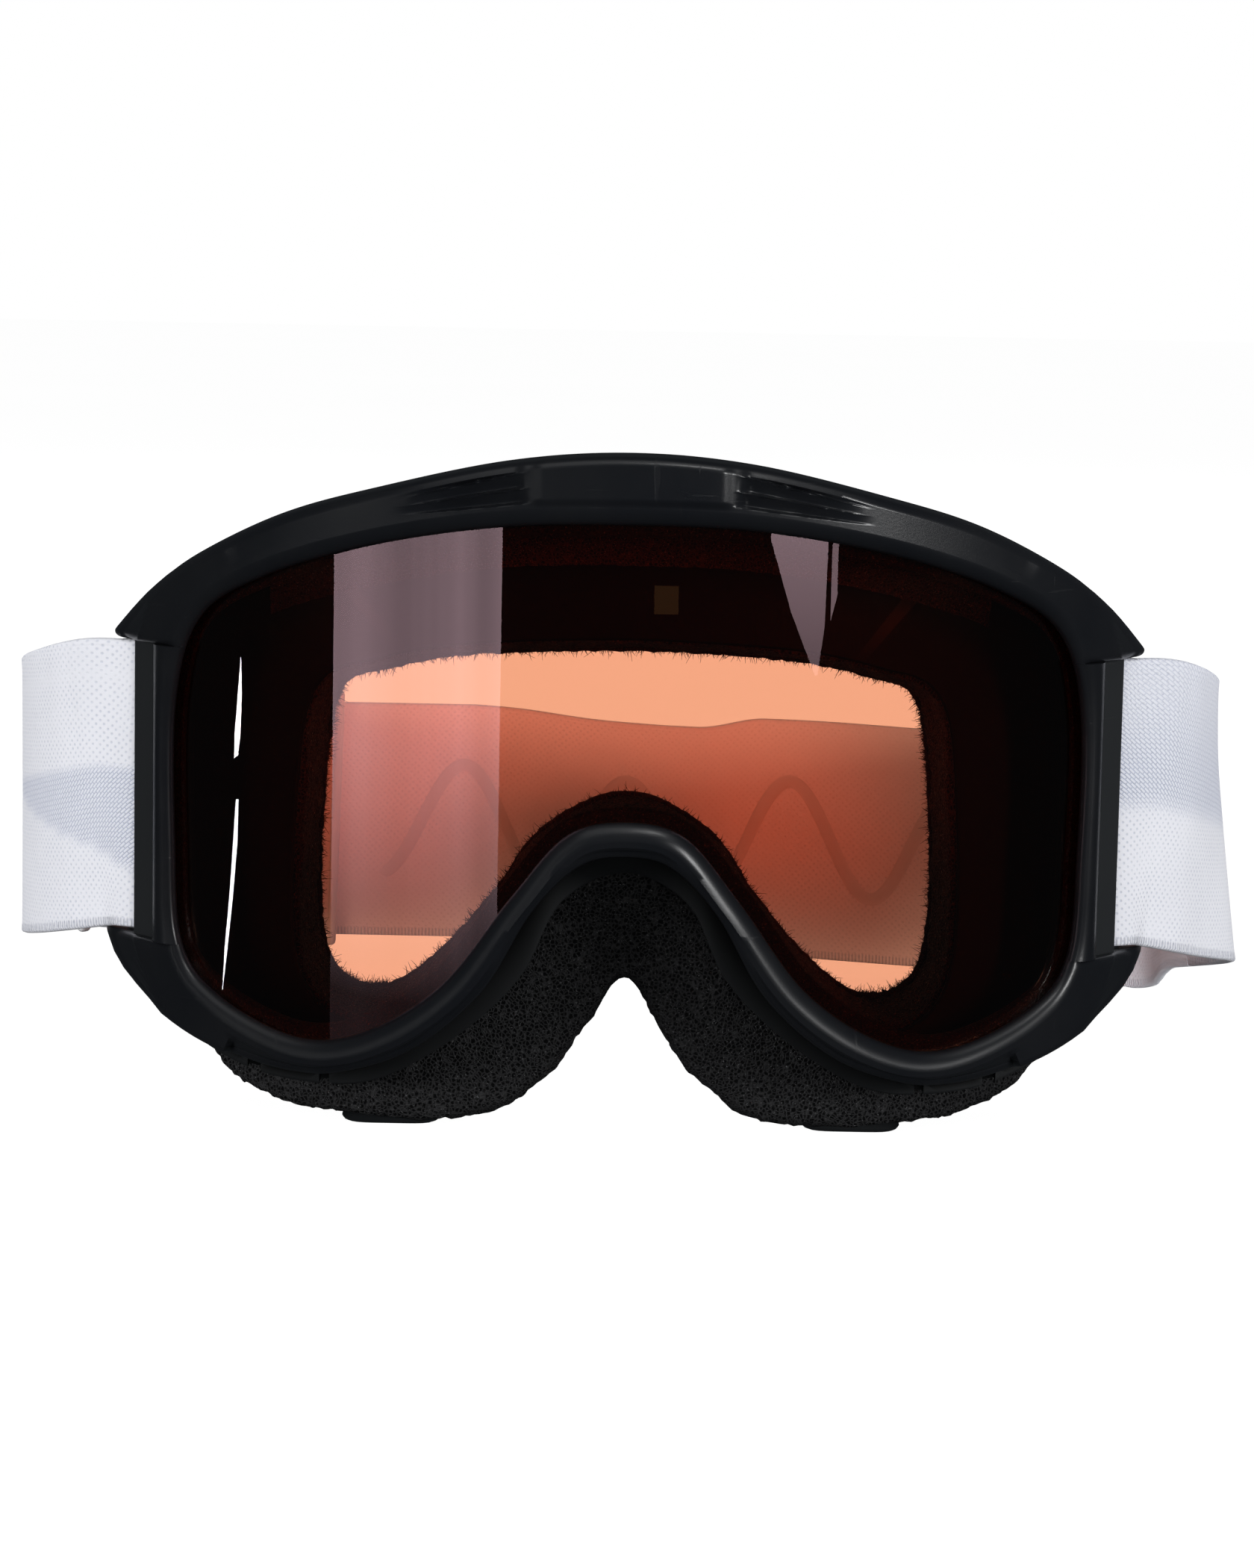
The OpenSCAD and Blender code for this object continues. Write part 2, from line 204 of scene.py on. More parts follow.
def depth(x, d):
    """Y of a point at depth d behind the lens face: straight back, or square to the lens in front of it."""
    front = LENS_R - np.sqrt((LENS_R + np.maximum(-np.asarray(d, float), 0)) ** 2 - np.asarray(x, float) ** 2)
    return np.where(np.asarray(d) < 0, front, sag(x) + d)


def hit(start, way, poly):
    """Distance from start along way to the first crossing with a polyline."""
    a, b = poly[:-1], poly[1:]
    e = b - a
    cross = way[0] * e[:, 1] - way[1] * e[:, 0]
    safe = np.where(np.abs(cross) < 1e-9, 1e-9, cross)
    q = a - start
    t = (q[:, 0] * e[:, 1] - q[:, 1] * e[:, 0]) / safe
    u = (q[:, 0] * way[1] - q[:, 1] * way[0]) / safe
    good = (t > 0) & (u >= -0.001) & (u <= 1.001)
    return float(t[good].min())


# ---------------------------------------------------------------- mesh helpers

def make(name, verts, faces, material, body=None, sharp=None):
    """A smooth-shaded mesh object. Edges sharper than sharp degrees keep an edge."""
    mesh = bpy.data.meshes.new(name)
    mesh.from_pydata([tuple(v) for v in verts], [], [tuple(int(i) for i in f) for f in faces])
    mesh.update()
    mesh.polygons.foreach_set("use_smooth", [True] * len(mesh.polygons))
    obj = bpy.data.objects.new(name, mesh)
    bpy.context.scene.collection.objects.link(obj)
    tidy_normals(obj)
    if sharp:
        mesh.set_sharp_from_angle(angle=math.radians(sharp))
    mesh.materials.append(material)
    if body:
        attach(obj, body)
    return obj


def mark_points(obj, name, kind, field, values):
    """Give every point of a mesh a value for its material to read."""
    mark = obj.data.attributes.new(name, kind, "POINT")
    mark.data.foreach_set(field, np.array(values, np.float32).ravel())


def tidy_normals(obj):
    bm = bmesh.new()
    bm.from_mesh(obj.data)
    bmesh.ops.recalc_face_normals(bm, faces=bm.faces)
    bm.to_mesh(obj.data)
    bm.free()


def grid_faces(rows, cols, wrap_rows=False, wrap_cols=False):
    faces = []
    for i in range(rows if wrap_rows else rows - 1):
        a, b = i * cols, (i + 1) % rows * cols
        for j in range(cols if wrap_cols else cols - 1):
            k = (j + 1) % cols
            faces.append((a + j, a + k, b + k, b + j))
    return faces


def capped_faces(rows, cols):
    """Faces of a bar with closed ends: rows cross-sections of cols points each."""
    last = (rows - 1) * cols
    return grid_faces(rows, cols, False, True) + [tuple(range(cols))[::-1], tuple(range(last, last + cols))]


def join(parts):
    """Several (verts, faces) as one."""
    verts, faces = [], []
    for v, f in parts:
        faces += [tuple(i + len(verts) for i in face) for face in f]
        verts += list(v)
    return verts, faces


def tube(points, radius, closed, sides=12):
    """Verts and faces of a round bar along points."""
    p = np.asarray(points, float)
    t = (np.roll(p, -1, 0) - np.roll(p, 1, 0)) if closed else np.gradient(p, axis=0)
    t /= np.linalg.norm(t, axis=1, keepdims=True)
    verts = []
    for i in range(len(p)):
        a = np.cross(t[i], (0.31, 0.83, 0.46))
        a /= np.linalg.norm(a)
        b = np.cross(t[i], a)
        for k in range(sides):
            w = 2 * math.pi * k / sides
            verts.append(p[i] + (a * math.cos(w) + b * math.sin(w)) * radius)
    faces = grid_faces(len(p), sides, True, True) if closed else capped_faces(len(p), sides)
    return verts, faces


def roughen(points, amount, size, seed):
    """Points (n, 3) in millimetres moved by soft noise of the given size."""
    out = points.copy()
    for i, p in enumerate(points):
        v = noise.noise_vector(Vector(p) / size + Vector((seed, seed * 1.7, -seed)))
        out[i] += np.array(v) * amount
    return out


def ring_object(name, sections, material, sharp=None, rough=()):
    """A ring on the frame from cross-sections of its right half, from the middle of the top to the nose.

    rough lists the roughen() passes. The ring stays half a millimetre above the table.
    """
    right = np.array(sections)
    ring = np.concatenate([right, right[-2:0:-1] * (-1, 1, 1)])
    n, k, _ = ring.shape
    points = ring.reshape(-1, 3)
    for amount, size, seed in rough:
        points = roughen(points, amount, size, seed)
    points[:, 2] = np.maximum(points[:, 2], 0.5)
    return make(name, place(points), grid_faces(n, k, True, True), material, "goggle_frame", sharp)


def marked(half, marks, count):
    """Points of a half outline at count places that match between outlines."""
    per = 16
    poly = half_curve(half, per)
    s = lengths(poly)
    stops = [s[m * per] for m in marks]
    u = np.linspace(0, 1, count) * (len(marks) - 1)
    return along(poly, np.interp(u, range(len(marks)), stops))


# ---------------------------------------------------------------- material helpers

class Nodes:
    """A node tree made with short calls. A value may be a constant or another node's output."""

    def __init__(self, owner):
        self.owner = owner
        owner.use_nodes = True
        owner.node_tree.nodes.clear()

    def add(self, kind, values=None, **settings):
        node = self.owner.node_tree.nodes.new(kind)
        for key, value in settings.items():
            setattr(node, key, value)
        for key, value in (values or {}).items():
            socket = node.inputs[key]
            if isinstance(value, bpy.types.NodeSocket):
                self.owner.node_tree.links.new(value, socket)
            else:
                socket.default_value = value
        return node

    def math(self, operation, a, b=0.0):
        return self.add("ShaderNodeMath", {0: a, 1: b}, operation=operation).outputs[0]

    def ray_kinds(self):
        """Two switches: what the eye sees directly or through the lens, and light after a mirror bounce."""
        path = self.add("ShaderNodeLightPath").outputs
        mirrored = self.math("GREATER_THAN", path["Glossy Depth"], 0.5)
        bounces = self.math("ADD", path["Diffuse Depth"], path["Glossy Depth"])
        seen = self.math("MAXIMUM", path["Is Camera Ray"], path["Is Transmission Ray"])
        return self.math("MULTIPLY", seen, self.math("LESS_THAN", bounces, 0.5)), mirrored


class Shader(Nodes):
    """A node material."""

    def __init__(self, name):
        super().__init__(bpy.data.materials.new(name))
        self.coords = self.add("ShaderNodeTexCoord").outputs["Object"]

    def noise(self, scale, detail, rough, vector=None):
        values = {"Vector": vector or self.coords, "Scale": scale, "Detail": detail, "Roughness": rough}
        return self.add("ShaderNodeTexNoise", values).outputs["Fac"]

    def stretched(self, scale, rotation=(0, 0, 0), vector=None):
        values = {"Vector": vector or self.coords, "Scale": scale, "Rotation": rotation}
        return self.add("ShaderNodeMapping", values).outputs["Vector"]

    def ramp(self, fac, low, high, to_low=0.0, to_high=1.0):
        values = {"Value": fac, "From Min": low, "From Max": high, "To Min": to_low, "To Max": to_high}
        return self.add("ShaderNodeMapRange", values, clamp=True).outputs["Result"]

    def mix(self, fac, a, b):
        return self.add("ShaderNodeMix", {0: fac, 6: a, 7: b}, data_type="RGBA").outputs[2]

    def bump(self, height, distance, strength=1.0, normal=None):
        values = {"Height": height, "Distance": distance, "Strength": strength}
        if normal is not None:
            values["Normal"] = normal
        return self.add("ShaderNodeBump", values).outputs["Normal"]

    def principled(self, values):
        return self.add("ShaderNodeBsdfPrincipled", values).outputs["BSDF"]

    def finish(self, surface):
        self.add("ShaderNodeOutputMaterial", {"Surface": surface})
        return self.owner

    def plain(self, values):
        """Finish with one principled surface."""
        return self.finish(self.principled(values))


def rgb(r, g, b):
    return (r, g, b, 1.0)


def frame_plastic(name, dark, light, rough_low, rough_high, scratches):
    """Moulded plastic: cloudy sheen, fine grain and hairline scratches.

    The shade attribute marks its inside (1), painted darker as shade, and its flat post faces (-1), painted
    lighter as light.
    """
    s = Shader(name)
    shade = s.add("ShaderNodeAttribute", {}, attribute_name="shade").outputs["Fac"]
    inside = s.ramp(shade, 0.0, 1.0)
    lit_post = s.ramp(shade, 0.0, -1.0)
    cloud = s.noise(38, 4, 0.6)
    grain = s.noise(2600, 2, 0.6)
    colour = s.mix(s.ramp(cloud, 0.3, 0.75), dark, light)
    line = s.noise(90, 2, 0.5, s.stretched((1, 1, 14), (0.3, 0.2, 0.7)))
    line_b = s.noise(70, 2, 0.5, s.stretched((12, 1, 1), (0.1, 0.5, 0.25)))
    scratch = s.math("MAXIMUM", s.ramp(line, 0.705, 0.72), s.ramp(line_b, 0.715, 0.73))
    rough = s.math("ADD", s.ramp(cloud, 0.25, 0.8, rough_low, rough_high), s.math("MULTIPLY", scratch, 0.12))
    # Painted light: the flat post faces are painted lighter, for the light they catch from the front.
    colour = s.mix(lit_post, colour, rgb(0.0125, 0.0135, 0.0145))
    # Painted shade: the inside of the frame is painted nearly black, for the shade it lies in; its specular
    # level is lowered there too.
    colour = s.mix(inside, colour, rgb(0.002, 0.002, 0.002))
    normal = s.bump(grain, 0.00003, 0.35)
    normal = s.bump(scratch, -0.00002, scratches, normal)
    return s.plain({"Base Color": colour, "Roughness": rough, "Normal": normal,
                    "Specular IOR Level": s.ramp(inside, 0.0, 1.0, 0.42, 0.05)})


def lens_material(name, tint, ior):
    """Clear tinted plate: glass to the eye, and a plain filter to the lamps."""
    s = Shader(name)
    smear = s.noise(55, 3, 0.6, s.stretched((1, 1, 2.5)))
    rough = s.ramp(smear, 0.55, 0.9, 0.0, 0.035)
    glass = s.principled({"Base Color": tint, "Roughness": rough, "IOR": ior, "Transmission Weight": 1.0})
    clear = s.add("ShaderNodeBsdfTransparent", {"Color": tint}).outputs[0]
    path = s.add("ShaderNodeLightPath").outputs["Is Shadow Ray"]
    return s.finish(s.add("ShaderNodeMixShader", {0: path, 1: glass, 2: clear}).outputs[0])


def foam_material(name, pit, lit_wall, cell, depth_m, glint):
    """Open-cell foam: painted shade in the pits, painted light on the cell walls, and tiny painted glints on
    the walls.
    """
    s = Shader(name)
    wobble = s.noise(cell * 0.6, 2, 0.5)
    bubbles = {"Vector": s.coords, "Scale": cell, "Randomness": 1.0}
    edge = s.add("ShaderNodeTexVoronoi", bubbles, feature="DISTANCE_TO_EDGE").outputs["Distance"]
    wall = s.ramp(edge, 0.02, 0.28, 1.0, 0.0)
    cloud = s.noise(26, 3, 0.6)
    # Painted light and shade: the cell walls are painted lighter as lit tips, the pits darker as the shade in
    # them.
    colour = s.mix(wall, pit, lit_wall)
    colour = s.mix(s.ramp(cloud, 0.3, 0.8, 0.0, 0.35), colour, pit)
    # Painted glints: specks painted near white in the colour; the lower roughness there is real.
    spark = s.ramp(s.noise(cell * 2.2, 1, 0.5), 0.66, 0.74)
    colour = s.mix(s.math("MULTIPLY", spark, glint), colour, rgb(0.10, 0.10, 0.104))
    height = s.math("ADD", s.math("MULTIPLY", wall, 0.7), s.math("MULTIPLY", wobble, 0.5))
    rough = s.ramp(spark, 0.0, 1.0, 0.85, 0.35)
    return s.plain({"Base Color": colour, "Roughness": rough,
                    "Normal": s.bump(height, depth_m, 0.9), "Specular IOR Level": 0.3})


def fleece_material():
    s = Shader("fleece black")
    nap = s.noise(1500, 4, 0.7)
    patch = s.noise(120, 3, 0.6)
    colour = s.mix(s.ramp(patch, 0.35, 0.7), rgb(0.008, 0.008, 0.0085), rgb(0.017, 0.017, 0.018))
    colour = s.mix(s.ramp(nap, 0.55, 0.75, 0.0, 0.5), colour, rgb(0.04, 0.04, 0.042))
    return s.plain({"Base Color": colour, "Roughness": 0.95, "Normal": s.bump(nap, 0.00035, 0.8),
                    "Specular IOR Level": 0.15, "Sheen Weight": 0.08, "Sheen Roughness": 0.5})


def strap_material():
    """White elastic: fine blue-grey dots on white, and fields of a slanted basket weave in lavender-grey."""
    s = Shader("strap white elastic")
    place_at = s.add("ShaderNodeAttribute", {}, attribute_name="strap_at").outputs["Vector"]
    run, across, tone = s.add("ShaderNodeSeparateXYZ", {0: place_at}).outputs
    flat = s.add("ShaderNodeCombineXYZ", {0: run, 1: across}).outputs[0]
    weave = s.stretched((1, 1, 1), (0, 0, math.radians(41)), flat)
    basket = {"Vector": weave, "Scale": 1000, "Mortar Size": 0.13, "Mortar Smooth": 0.8,
              "Brick Width": 1.25, "Row Height": 0.52}
    gap = s.add("ShaderNodeTexBrick", basket).outputs["Fac"]
    spots = {"Vector": weave, "Scale": 1050, "Randomness": 0.12}
    dots = s.add("ShaderNodeTexVoronoi", spots).outputs["Distance"]
    dot = s.ramp(dots, 0.12, 0.3, 1.0, 0.0)
    patchy = s.ramp(s.noise(120, 2, 0.6, flat), 0.3, 0.6, 0.4, 1.0)
    field = s.ramp(tone, 0.0, 1.0)
    plain = s.ramp(tone, -1.0, 0.0, 0.1, 1.0)
    cloud = s.noise(45, 2, 0.5, flat)
    ground = s.mix(s.ramp(cloud, 0.3, 0.7), rgb(0.86, 0.87, 0.93), rgb(0.90, 0.91, 0.97))
    speckled = s.math("MULTIPLY", s.math("MULTIPLY", dot, patchy), s.math("MULTIPLY", plain, 0.42))
    white = s.mix(speckled, ground, rgb(0.40, 0.44, 0.58))
    thread = s.mix(s.ramp(cloud, 0.3, 0.7), rgb(0.82, 0.84, 0.93), rgb(0.86, 0.88, 0.96))
    woven = s.mix(s.math("MULTIPLY", gap, 0.7), thread, rgb(0.42, 0.46, 0.61))
    colour = s.mix(field, white, woven)
    low_edge = s.ramp(across, -STRAP_HALF * MM + 0.0017, -STRAP_HALF * MM + 0.0014)
    whip = s.ramp(s.math("SINE", s.math("MULTIPLY", run, 2 * math.pi / 0.00066)), -0.9, 0.4, 1.0, 0.0)
    colour = s.mix(s.math("MULTIPLY", s.math("MULTIPLY", low_edge, whip), 0.5), colour, rgb(0.42, 0.45, 0.55))
    high_edge = s.ramp(across, STRAP_HALF * MM - 0.0012, STRAP_HALF * MM - 0.0009)
    knit = s.math("MULTIPLY", s.math("ADD", s.math("MULTIPLY", gap, field), dot), -0.6)
    rolled = s.math("MULTIPLY", s.math("ADD", low_edge, high_edge), 0.7)
    height = s.math("ADD", s.math("SUBTRACT", knit, s.math("MULTIPLY", low_edge, whip)), rolled)
    return s.plain({"Base Color": colour, "Roughness": 0.88, "Normal": s.bump(height, 0.00014, 0.8),
                    "Specular IOR Level": 0.25, "Sheen Weight": 0.1, "Sheen Roughness": 0.4})


def thread_material():
    s = Shader("thread white")
    twist = s.add("ShaderNodeTexWave", {"Vector": s.coords, "Scale": 900, "Distortion": 1.0}).outputs["Fac"]
    colour = s.mix(twist, rgb(0.62, 0.64, 0.7), rgb(0.84, 0.85, 0.89))
    return s.plain({"Base Color": colour, "Roughness": 0.6, "Normal": s.bump(twist, 0.00008, 0.8)})


def silicone_material():
    s = Shader("silicone clear")
    ripple = s.noise(300, 2, 0.5)
    return s.plain({"Base Color": rgb(0.84, 0.85, 0.90), "Roughness": 0.3, "IOR": 1.4,
                    "Transmission Weight": 0.15, "Normal": s.bump(ripple, 0.0001, 0.5)})


def floor_material():
    s = Shader("floor white")
    straight, mirrored = s.ray_kinds()
    tone = s.mix(s.ramp(s.noise(3, 2, 0.5), 0.3, 0.7), rgb(0.16, 0.16, 0.16), rgb(0.19, 0.19, 0.19))
    tone = s.mix(mirrored, tone, rgb(0.01, 0.01, 0.01))
    faint = s.math("MULTIPLY", s.math("SUBTRACT", 1.0, mirrored), 0.05)
    glow = s.math("MAXIMUM", s.math("MULTIPLY", straight, 0.97), faint)
    return s.plain({"Base Color": tone, "Roughness": 0.9, "Specular IOR Level": 0.0,
                    "Emission Color": rgb(1, 1, 1), "Emission Strength": glow})


black = frame_plastic("frame black", rgb(0.004, 0.0046, 0.006), rgb(0.0065, 0.0069, 0.0079), 0.26, 0.38, 0.5)
charcoal = frame_plastic("frame charcoal", rgb(0.006, 0.0065, 0.007), rgb(0.0085, 0.009, 0.0095),
                         0.5, 0.66, 0.3)
rod_black = frame_plastic("rod black", rgb(0.02, 0.021, 0.023), rgb(0.03, 0.031, 0.033), 0.35, 0.5, 0.4)
buckle_white = frame_plastic("buckle white", rgb(0.7, 0.705, 0.73), rgb(0.78, 0.785, 0.8), 0.28, 0.42, 0.5)
skin_black = frame_plastic("cheek strip black", rgb(0.008, 0.009, 0.01), rgb(0.014, 0.015, 0.016),
                           0.3, 0.5, 0.4)
copper = lens_material("lens copper", rgb(0.93, 0.40, 0.235), 1.45)
clear = lens_material("lens clear", rgb(0.985, 0.97, 0.955), 1.12)
foam_black = foam_material("foam black", rgb(0.003, 0.003, 0.0032), rgb(0.03, 0.03, 0.0312),
                           1500, 0.0004, 0.75)
spacer_black = foam_material("spacer foam black", rgb(0.002, 0.002, 0.002), rgb(0.006, 0.006, 0.006),
                             1500, 0.0002, 0.3)
foam_brown = foam_material("vent foam brown", rgb(0.003, 0.002, 0.002), rgb(0.022, 0.014, 0.011),
                           1900, 0.0003, 0.7)
fleece = fleece_material()
strap_white = strap_material()
thread_white = thread_material()
silicone = silicone_material()


# ---------------------------------------------------------------- frame

GROOVE_LINES = [((16.6, 101.9), (37.2, 99.3)), ((17.1, 104.1), (35.7, 100.8)),
                ((17.1, 106.5), (36.7, 101.7)), ((18.2, 107.9), (35.6, 103.7))]
MID = 46                    # points across the front of the rim, outside the bead
WING_ROUND = 1.3            # radius at the ends of the wings, above and below the posts


def rim_top_line():
    full = [(-x, z) for x, z in RIM_TOP[:0:-1]] + RIM_TOP
    poly = catmull(full, 12, False)
    right = poly[poly[:, 0] >= -1e-6]
    return np.concatenate([right, [[83.9, 76.2], [84.0, 74.0]]])


def rim_bottom_line():
    full = RIM_BOTTOM + [(-x, z) for x, z in RIM_BOTTOM[-2::-1]]
    poly = catmull(full, 12, False)
    right = poly[poly[:, 0] >= -1e-6]
    return np.concatenate([[[85.2, 32.0], [85.0, 29.4]], right])


def groove(x, z):
    """How deep the brow's fans of grooves lie below its surface at a point, in millimetres."""
    x = abs(x)
    if x < 13.5 or x > 40:
        return 0.0
    lines = [a[1] + (b[1] - a[1]) * (x - a[0]) / (b[0] - a[0]) for a, b in GROOVE_LINES]
    out = 0.0
    for i, low in enumerate(lines):
        high = lines[i + 1] if i < 3 else low + 1.7
        if low <= z < high:
            t = (z - low) / max(high - low, 0.2)
            start = GROOVE_LINES[i][0][0] - 1.4
            end = GROOVE_LINES[i][1][0]
            tooth = step(0, 0.16, t) * (1 - 0.8 * max(0.0, (t - 0.25) / 0.75) ** 1.3)
            out = 1.3 * tooth * step(start, start + 2.2, x) * (1 - step(end - 13, end, x))
    return out


def rim_section(p, way, width, crease_at, near_end):
    """One cross-section of the rim at lens point p: the inner wall, bead, front, outer edge and back."""
    front = -2.75 + near_end
    wing = step(74.9, 76.5, p[0] + way[0] * width)
    back = RIM_DEPTH + (WING_DEPTH - RIM_DEPTH) * wing
    brow = step(0.75, 0.95, way[1])
    pts = [(0, 10.3), (0, 4), (0, 0.6), (0, -0.7), (0.18, -1.25), (0.55, -1.75), (1.1, -2.2), (1.8, -2.58)]
    n0, n1 = 2.6, width - 1.3
    for i in range(MID):
        t = i / (MID - 1)
        n = n0 + (n1 - n0) * t
        x, z = p + way * n
        crease = (1 - brow) * (0.55 * step(crease_at - 0.5, crease_at, n)
                               + 1.6 * max(0.0, (n - crease_at) / max(n1 - crease_at, 0.5)))
        d = front + 0.25 * t + min(crease, 2.2)
        if brow > 0:
            plateau = 0.55 * (1 - step(13.4, 15.6, abs(x))) * step(2.8, 4.2, n)
            band = step(2.2, 3.4, n) * (1 - step(width - 1.9, width - 1.2, n) * 0.6)
            d += (groove(x, z) * band - plateau) * brow
        pts.append((n, min(d, -0.6)))
    last = pts[-1][1]
    pts += [(width - 0.75, last + 0.3), (width - 0.3, last + 0.85), (width - 0.05, last + 1.7),
            (width, last + 3), (width, back - 0.7), (width - 0.25, back - 0.2), (width - 0.8, back)]
    hold = max(2.0, min(width - 1.6, (75.2 - p[0]) / max(way[0], 0.3))) if wing > 0 else width * 0.6
    pts += [(hold, back), (hold - 0.3, RIM_DEPTH), (0.4, RIM_DEPTH)]
    out = []
    for n, d in pts:
        x, z = p + way * n
        out.append((x, float(depth(x, d)), z))
    return out


def post_section(p):
    """One cross-section beside the strap's window: a narrow bead, then the flat recessed post."""
    x0, z = p
    bead = [(0, 10.3), (0, 4), (0, 0.6), (0, -0.7), (0.16, -1.3), (0.45, -1.85), (0.9, -2.35), (1.4, -2.6)]
    out = [(x0 + n, float(depth(x0 + n, d))) for n, d in bead]
    crest_x, crest_y = out[-1]
    panel_in = WING_IN + 1.1
    for i in range(MID):
        t = i / (MID - 1)
        if t < 0.4:
            q = t / 0.4
            x = crest_x + (panel_in - crest_x) * (1 - (1 - q) ** 2.2)
            y = crest_y + (PANEL_FRONT_Y - crest_y) * q ** 1.7
        else:
            q = (t - 0.4) / 0.6
            x = panel_in + (POST_OUT - 0.5 - panel_in) * q
            y = PANEL_FRONT_Y + (PANEL_BACK_Y - PANEL_FRONT_Y) * q
        out.append((x, y))
    out += [(78.75, 34.7), (78.95, 34.95), (79.0, 35.3), (79.0, 35.8), (79.0, 36.7), (78.9, 37.0),
            (78.6, 37.2), (75.4, 37.4), (75.0, 40.6), (x0 + 0.4, float(depth(x0 + 0.4, RIM_DEPTH)))]
    return [(x, y, z) for x, y in out]


def rim_stops(poly, s):
    """Where along the lens outline the rim has its cross-sections: closest at the ends of the wings."""
    brow_end = float(np.interp(46, poly[:200, 0], s[:200]))
    at = list(np.arange(0, brow_end, 0.42)) + list(np.arange(brow_end, s[-1], 0.95)) + [s[-1]]
    side = poly[:, 0] > SIDE_X
    jumps = []
    for z, sign in ((WING_TOP, 1), (WING_BOTTOM, -1)):
        for off in (-0.5, -0.02, 0.02, 0.12, 0.3, 0.55, 0.85, 1.2, 1.7):
            jumps.append(float(np.interp(-(z + sign * off), -poly[side, 1], s[side])))
    clear_of = [a for a in at if all(abs(a - j) > 0.25 for j in jumps) or a in (0, s[-1])]
    return np.array(sorted(clear_of + jumps))


def build_rim():
    poly = half_curve(LENS_HALF, 24)
    s = lengths(poly)
    at = rim_stops(poly, s)
    normal = np.stack([np.interp(at, s, outward(poly)[:, k]) for k in range(2)], axis=1)
    normal[0], normal[-1] = (0, 1), (0, -1)
    top, bottom = rim_top_line(), rim_bottom_line()
    sections, shades = [], []
    for p, out in zip(along(poly, at), normal):
        x, z = p
        at_side = x > SIDE_X
        if at_side and WING_BOTTOM < z < WING_TOP:
            sections.append(post_section(p))
            # Shade -1 (and -0.5 where they begin) marks the flat post faces, which the material paints
            # lighter as painted light.
            shades.append([0.0] * 18 + [-0.5] * 3 + [-1.0] * (len(sections[-1]) - 21))
            continue
        level = step(SIDE_X, SIDE_X + 6, x)
        level *= 1 - step(WING_TOP + 0.5, WING_TOP + 9, z)
        level *= step(WING_BOTTOM - 7.5, WING_BOTTOM - 0.5, z)
        way = out * (1 - level) + np.array([1.0, 0.0]) * level
        way = way / np.linalg.norm(way)
        upper = z >= WING_TOP or (not at_side and z > 60)
        width = hit(p, way, top if upper else bottom)
        off = (z - WING_TOP) if upper else (WING_BOTTOM - z)
        near_end = 0.0
        if at_side and off < WING_ROUND:
            near_end = 1 - math.sqrt(max(0.0, 1 - ((WING_ROUND - off) / WING_ROUND) ** 2))
            width -= WING_ROUND * near_end
        sections.append(rim_section(p, way, width, 9.0 if at_side else 4.0, near_end))
        shades.append([0.0] * len(sections[-1]))
    rim = ring_object("front_rim", sections, black, sharp=48)
    mark_points(rim, "shade", "FLOAT", "value", shades + shades[-2:0:-1])
    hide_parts("front_rim")


def prism(corners, z0, z1):
    """A closed prism over corners (x, y) between two heights, as verts and faces."""
    n = len(corners)
    verts = [(x, y, z0) for x, y in corners] + [(x, y, z1) for x, y in corners]
    faces = [tuple(range(n))[::-1], tuple(range(n, 2 * n))]
    faces += [(i, (i + 1) % n, n + (i + 1) % n, n + i) for i in range(n)]
    return verts, faces


def vent_cutters():
    """What is cut out of the wall: five slanted vents on top and four straight ones below."""
    near, far = RIM_DEPTH + 1, FRAME_DEPTH - FLANGE_T - 0.8
    spacing, h = 22.0, 8.5
    cuts = []
    for i in range(-2, 3):
        x = i * spacing
        y = sag(x)
        lean = 2.5 if i % 2 == 0 else -2.5
        slope = (sag(abs(x) + 1) - y) * (1 if x > 0 else -1 if x < 0 else 0)
        corners = [(x - h - lean, y + near - slope * h), (x + h + lean, y + near + slope * h),
                   (x + h - lean, y + far + slope * h), (x - h + lean, y + far - slope * h)]
        cuts.append(prism(corners, 92, 122))
    for x in (-56, -44, 44, 56):
        y0, y1 = sag(x) + near + 0.2, sag(x) + far - 0.4
        cuts.append(prism([(x - 4, y0), (x + 4, y0), (x + 4, y1), (x - 4, y1)], 0, 14))
    return join(cuts)


def wall_profile(length, lip):
    """The wall's cross-section as (inward, depth): its outer face, then the flange and the inside."""
    inside = FRAME_DEPTH - FLANGE_T
    outer = [(0.9, RIM_DEPTH + 0.05), (0.4, RIM_DEPTH + 0.12), (0.1, RIM_DEPTH + 0.35), (0, RIM_DEPTH + 0.9),
             (0, 14), (0, 17), (0, FRAME_DEPTH - 0.7), (0.15, FRAME_DEPTH - 0.2), (0.7, FRAME_DEPTH)]
    inner = [(3, FRAME_DEPTH), (length - 0.4, FRAME_DEPTH), (length, FRAME_DEPTH - 0.4),
             (length, inside + 0.4), (length - 0.4, inside), (WALL_T + 1.0, inside),
             (WALL_T, inside - 0.8), (WALL_T, 14), (WALL_T + 0.1, RIM_DEPTH + 2.4),
             (lip, RIM_DEPTH + 1.7), (lip, RIM_DEPTH + 0.05)]
    return outer, inner


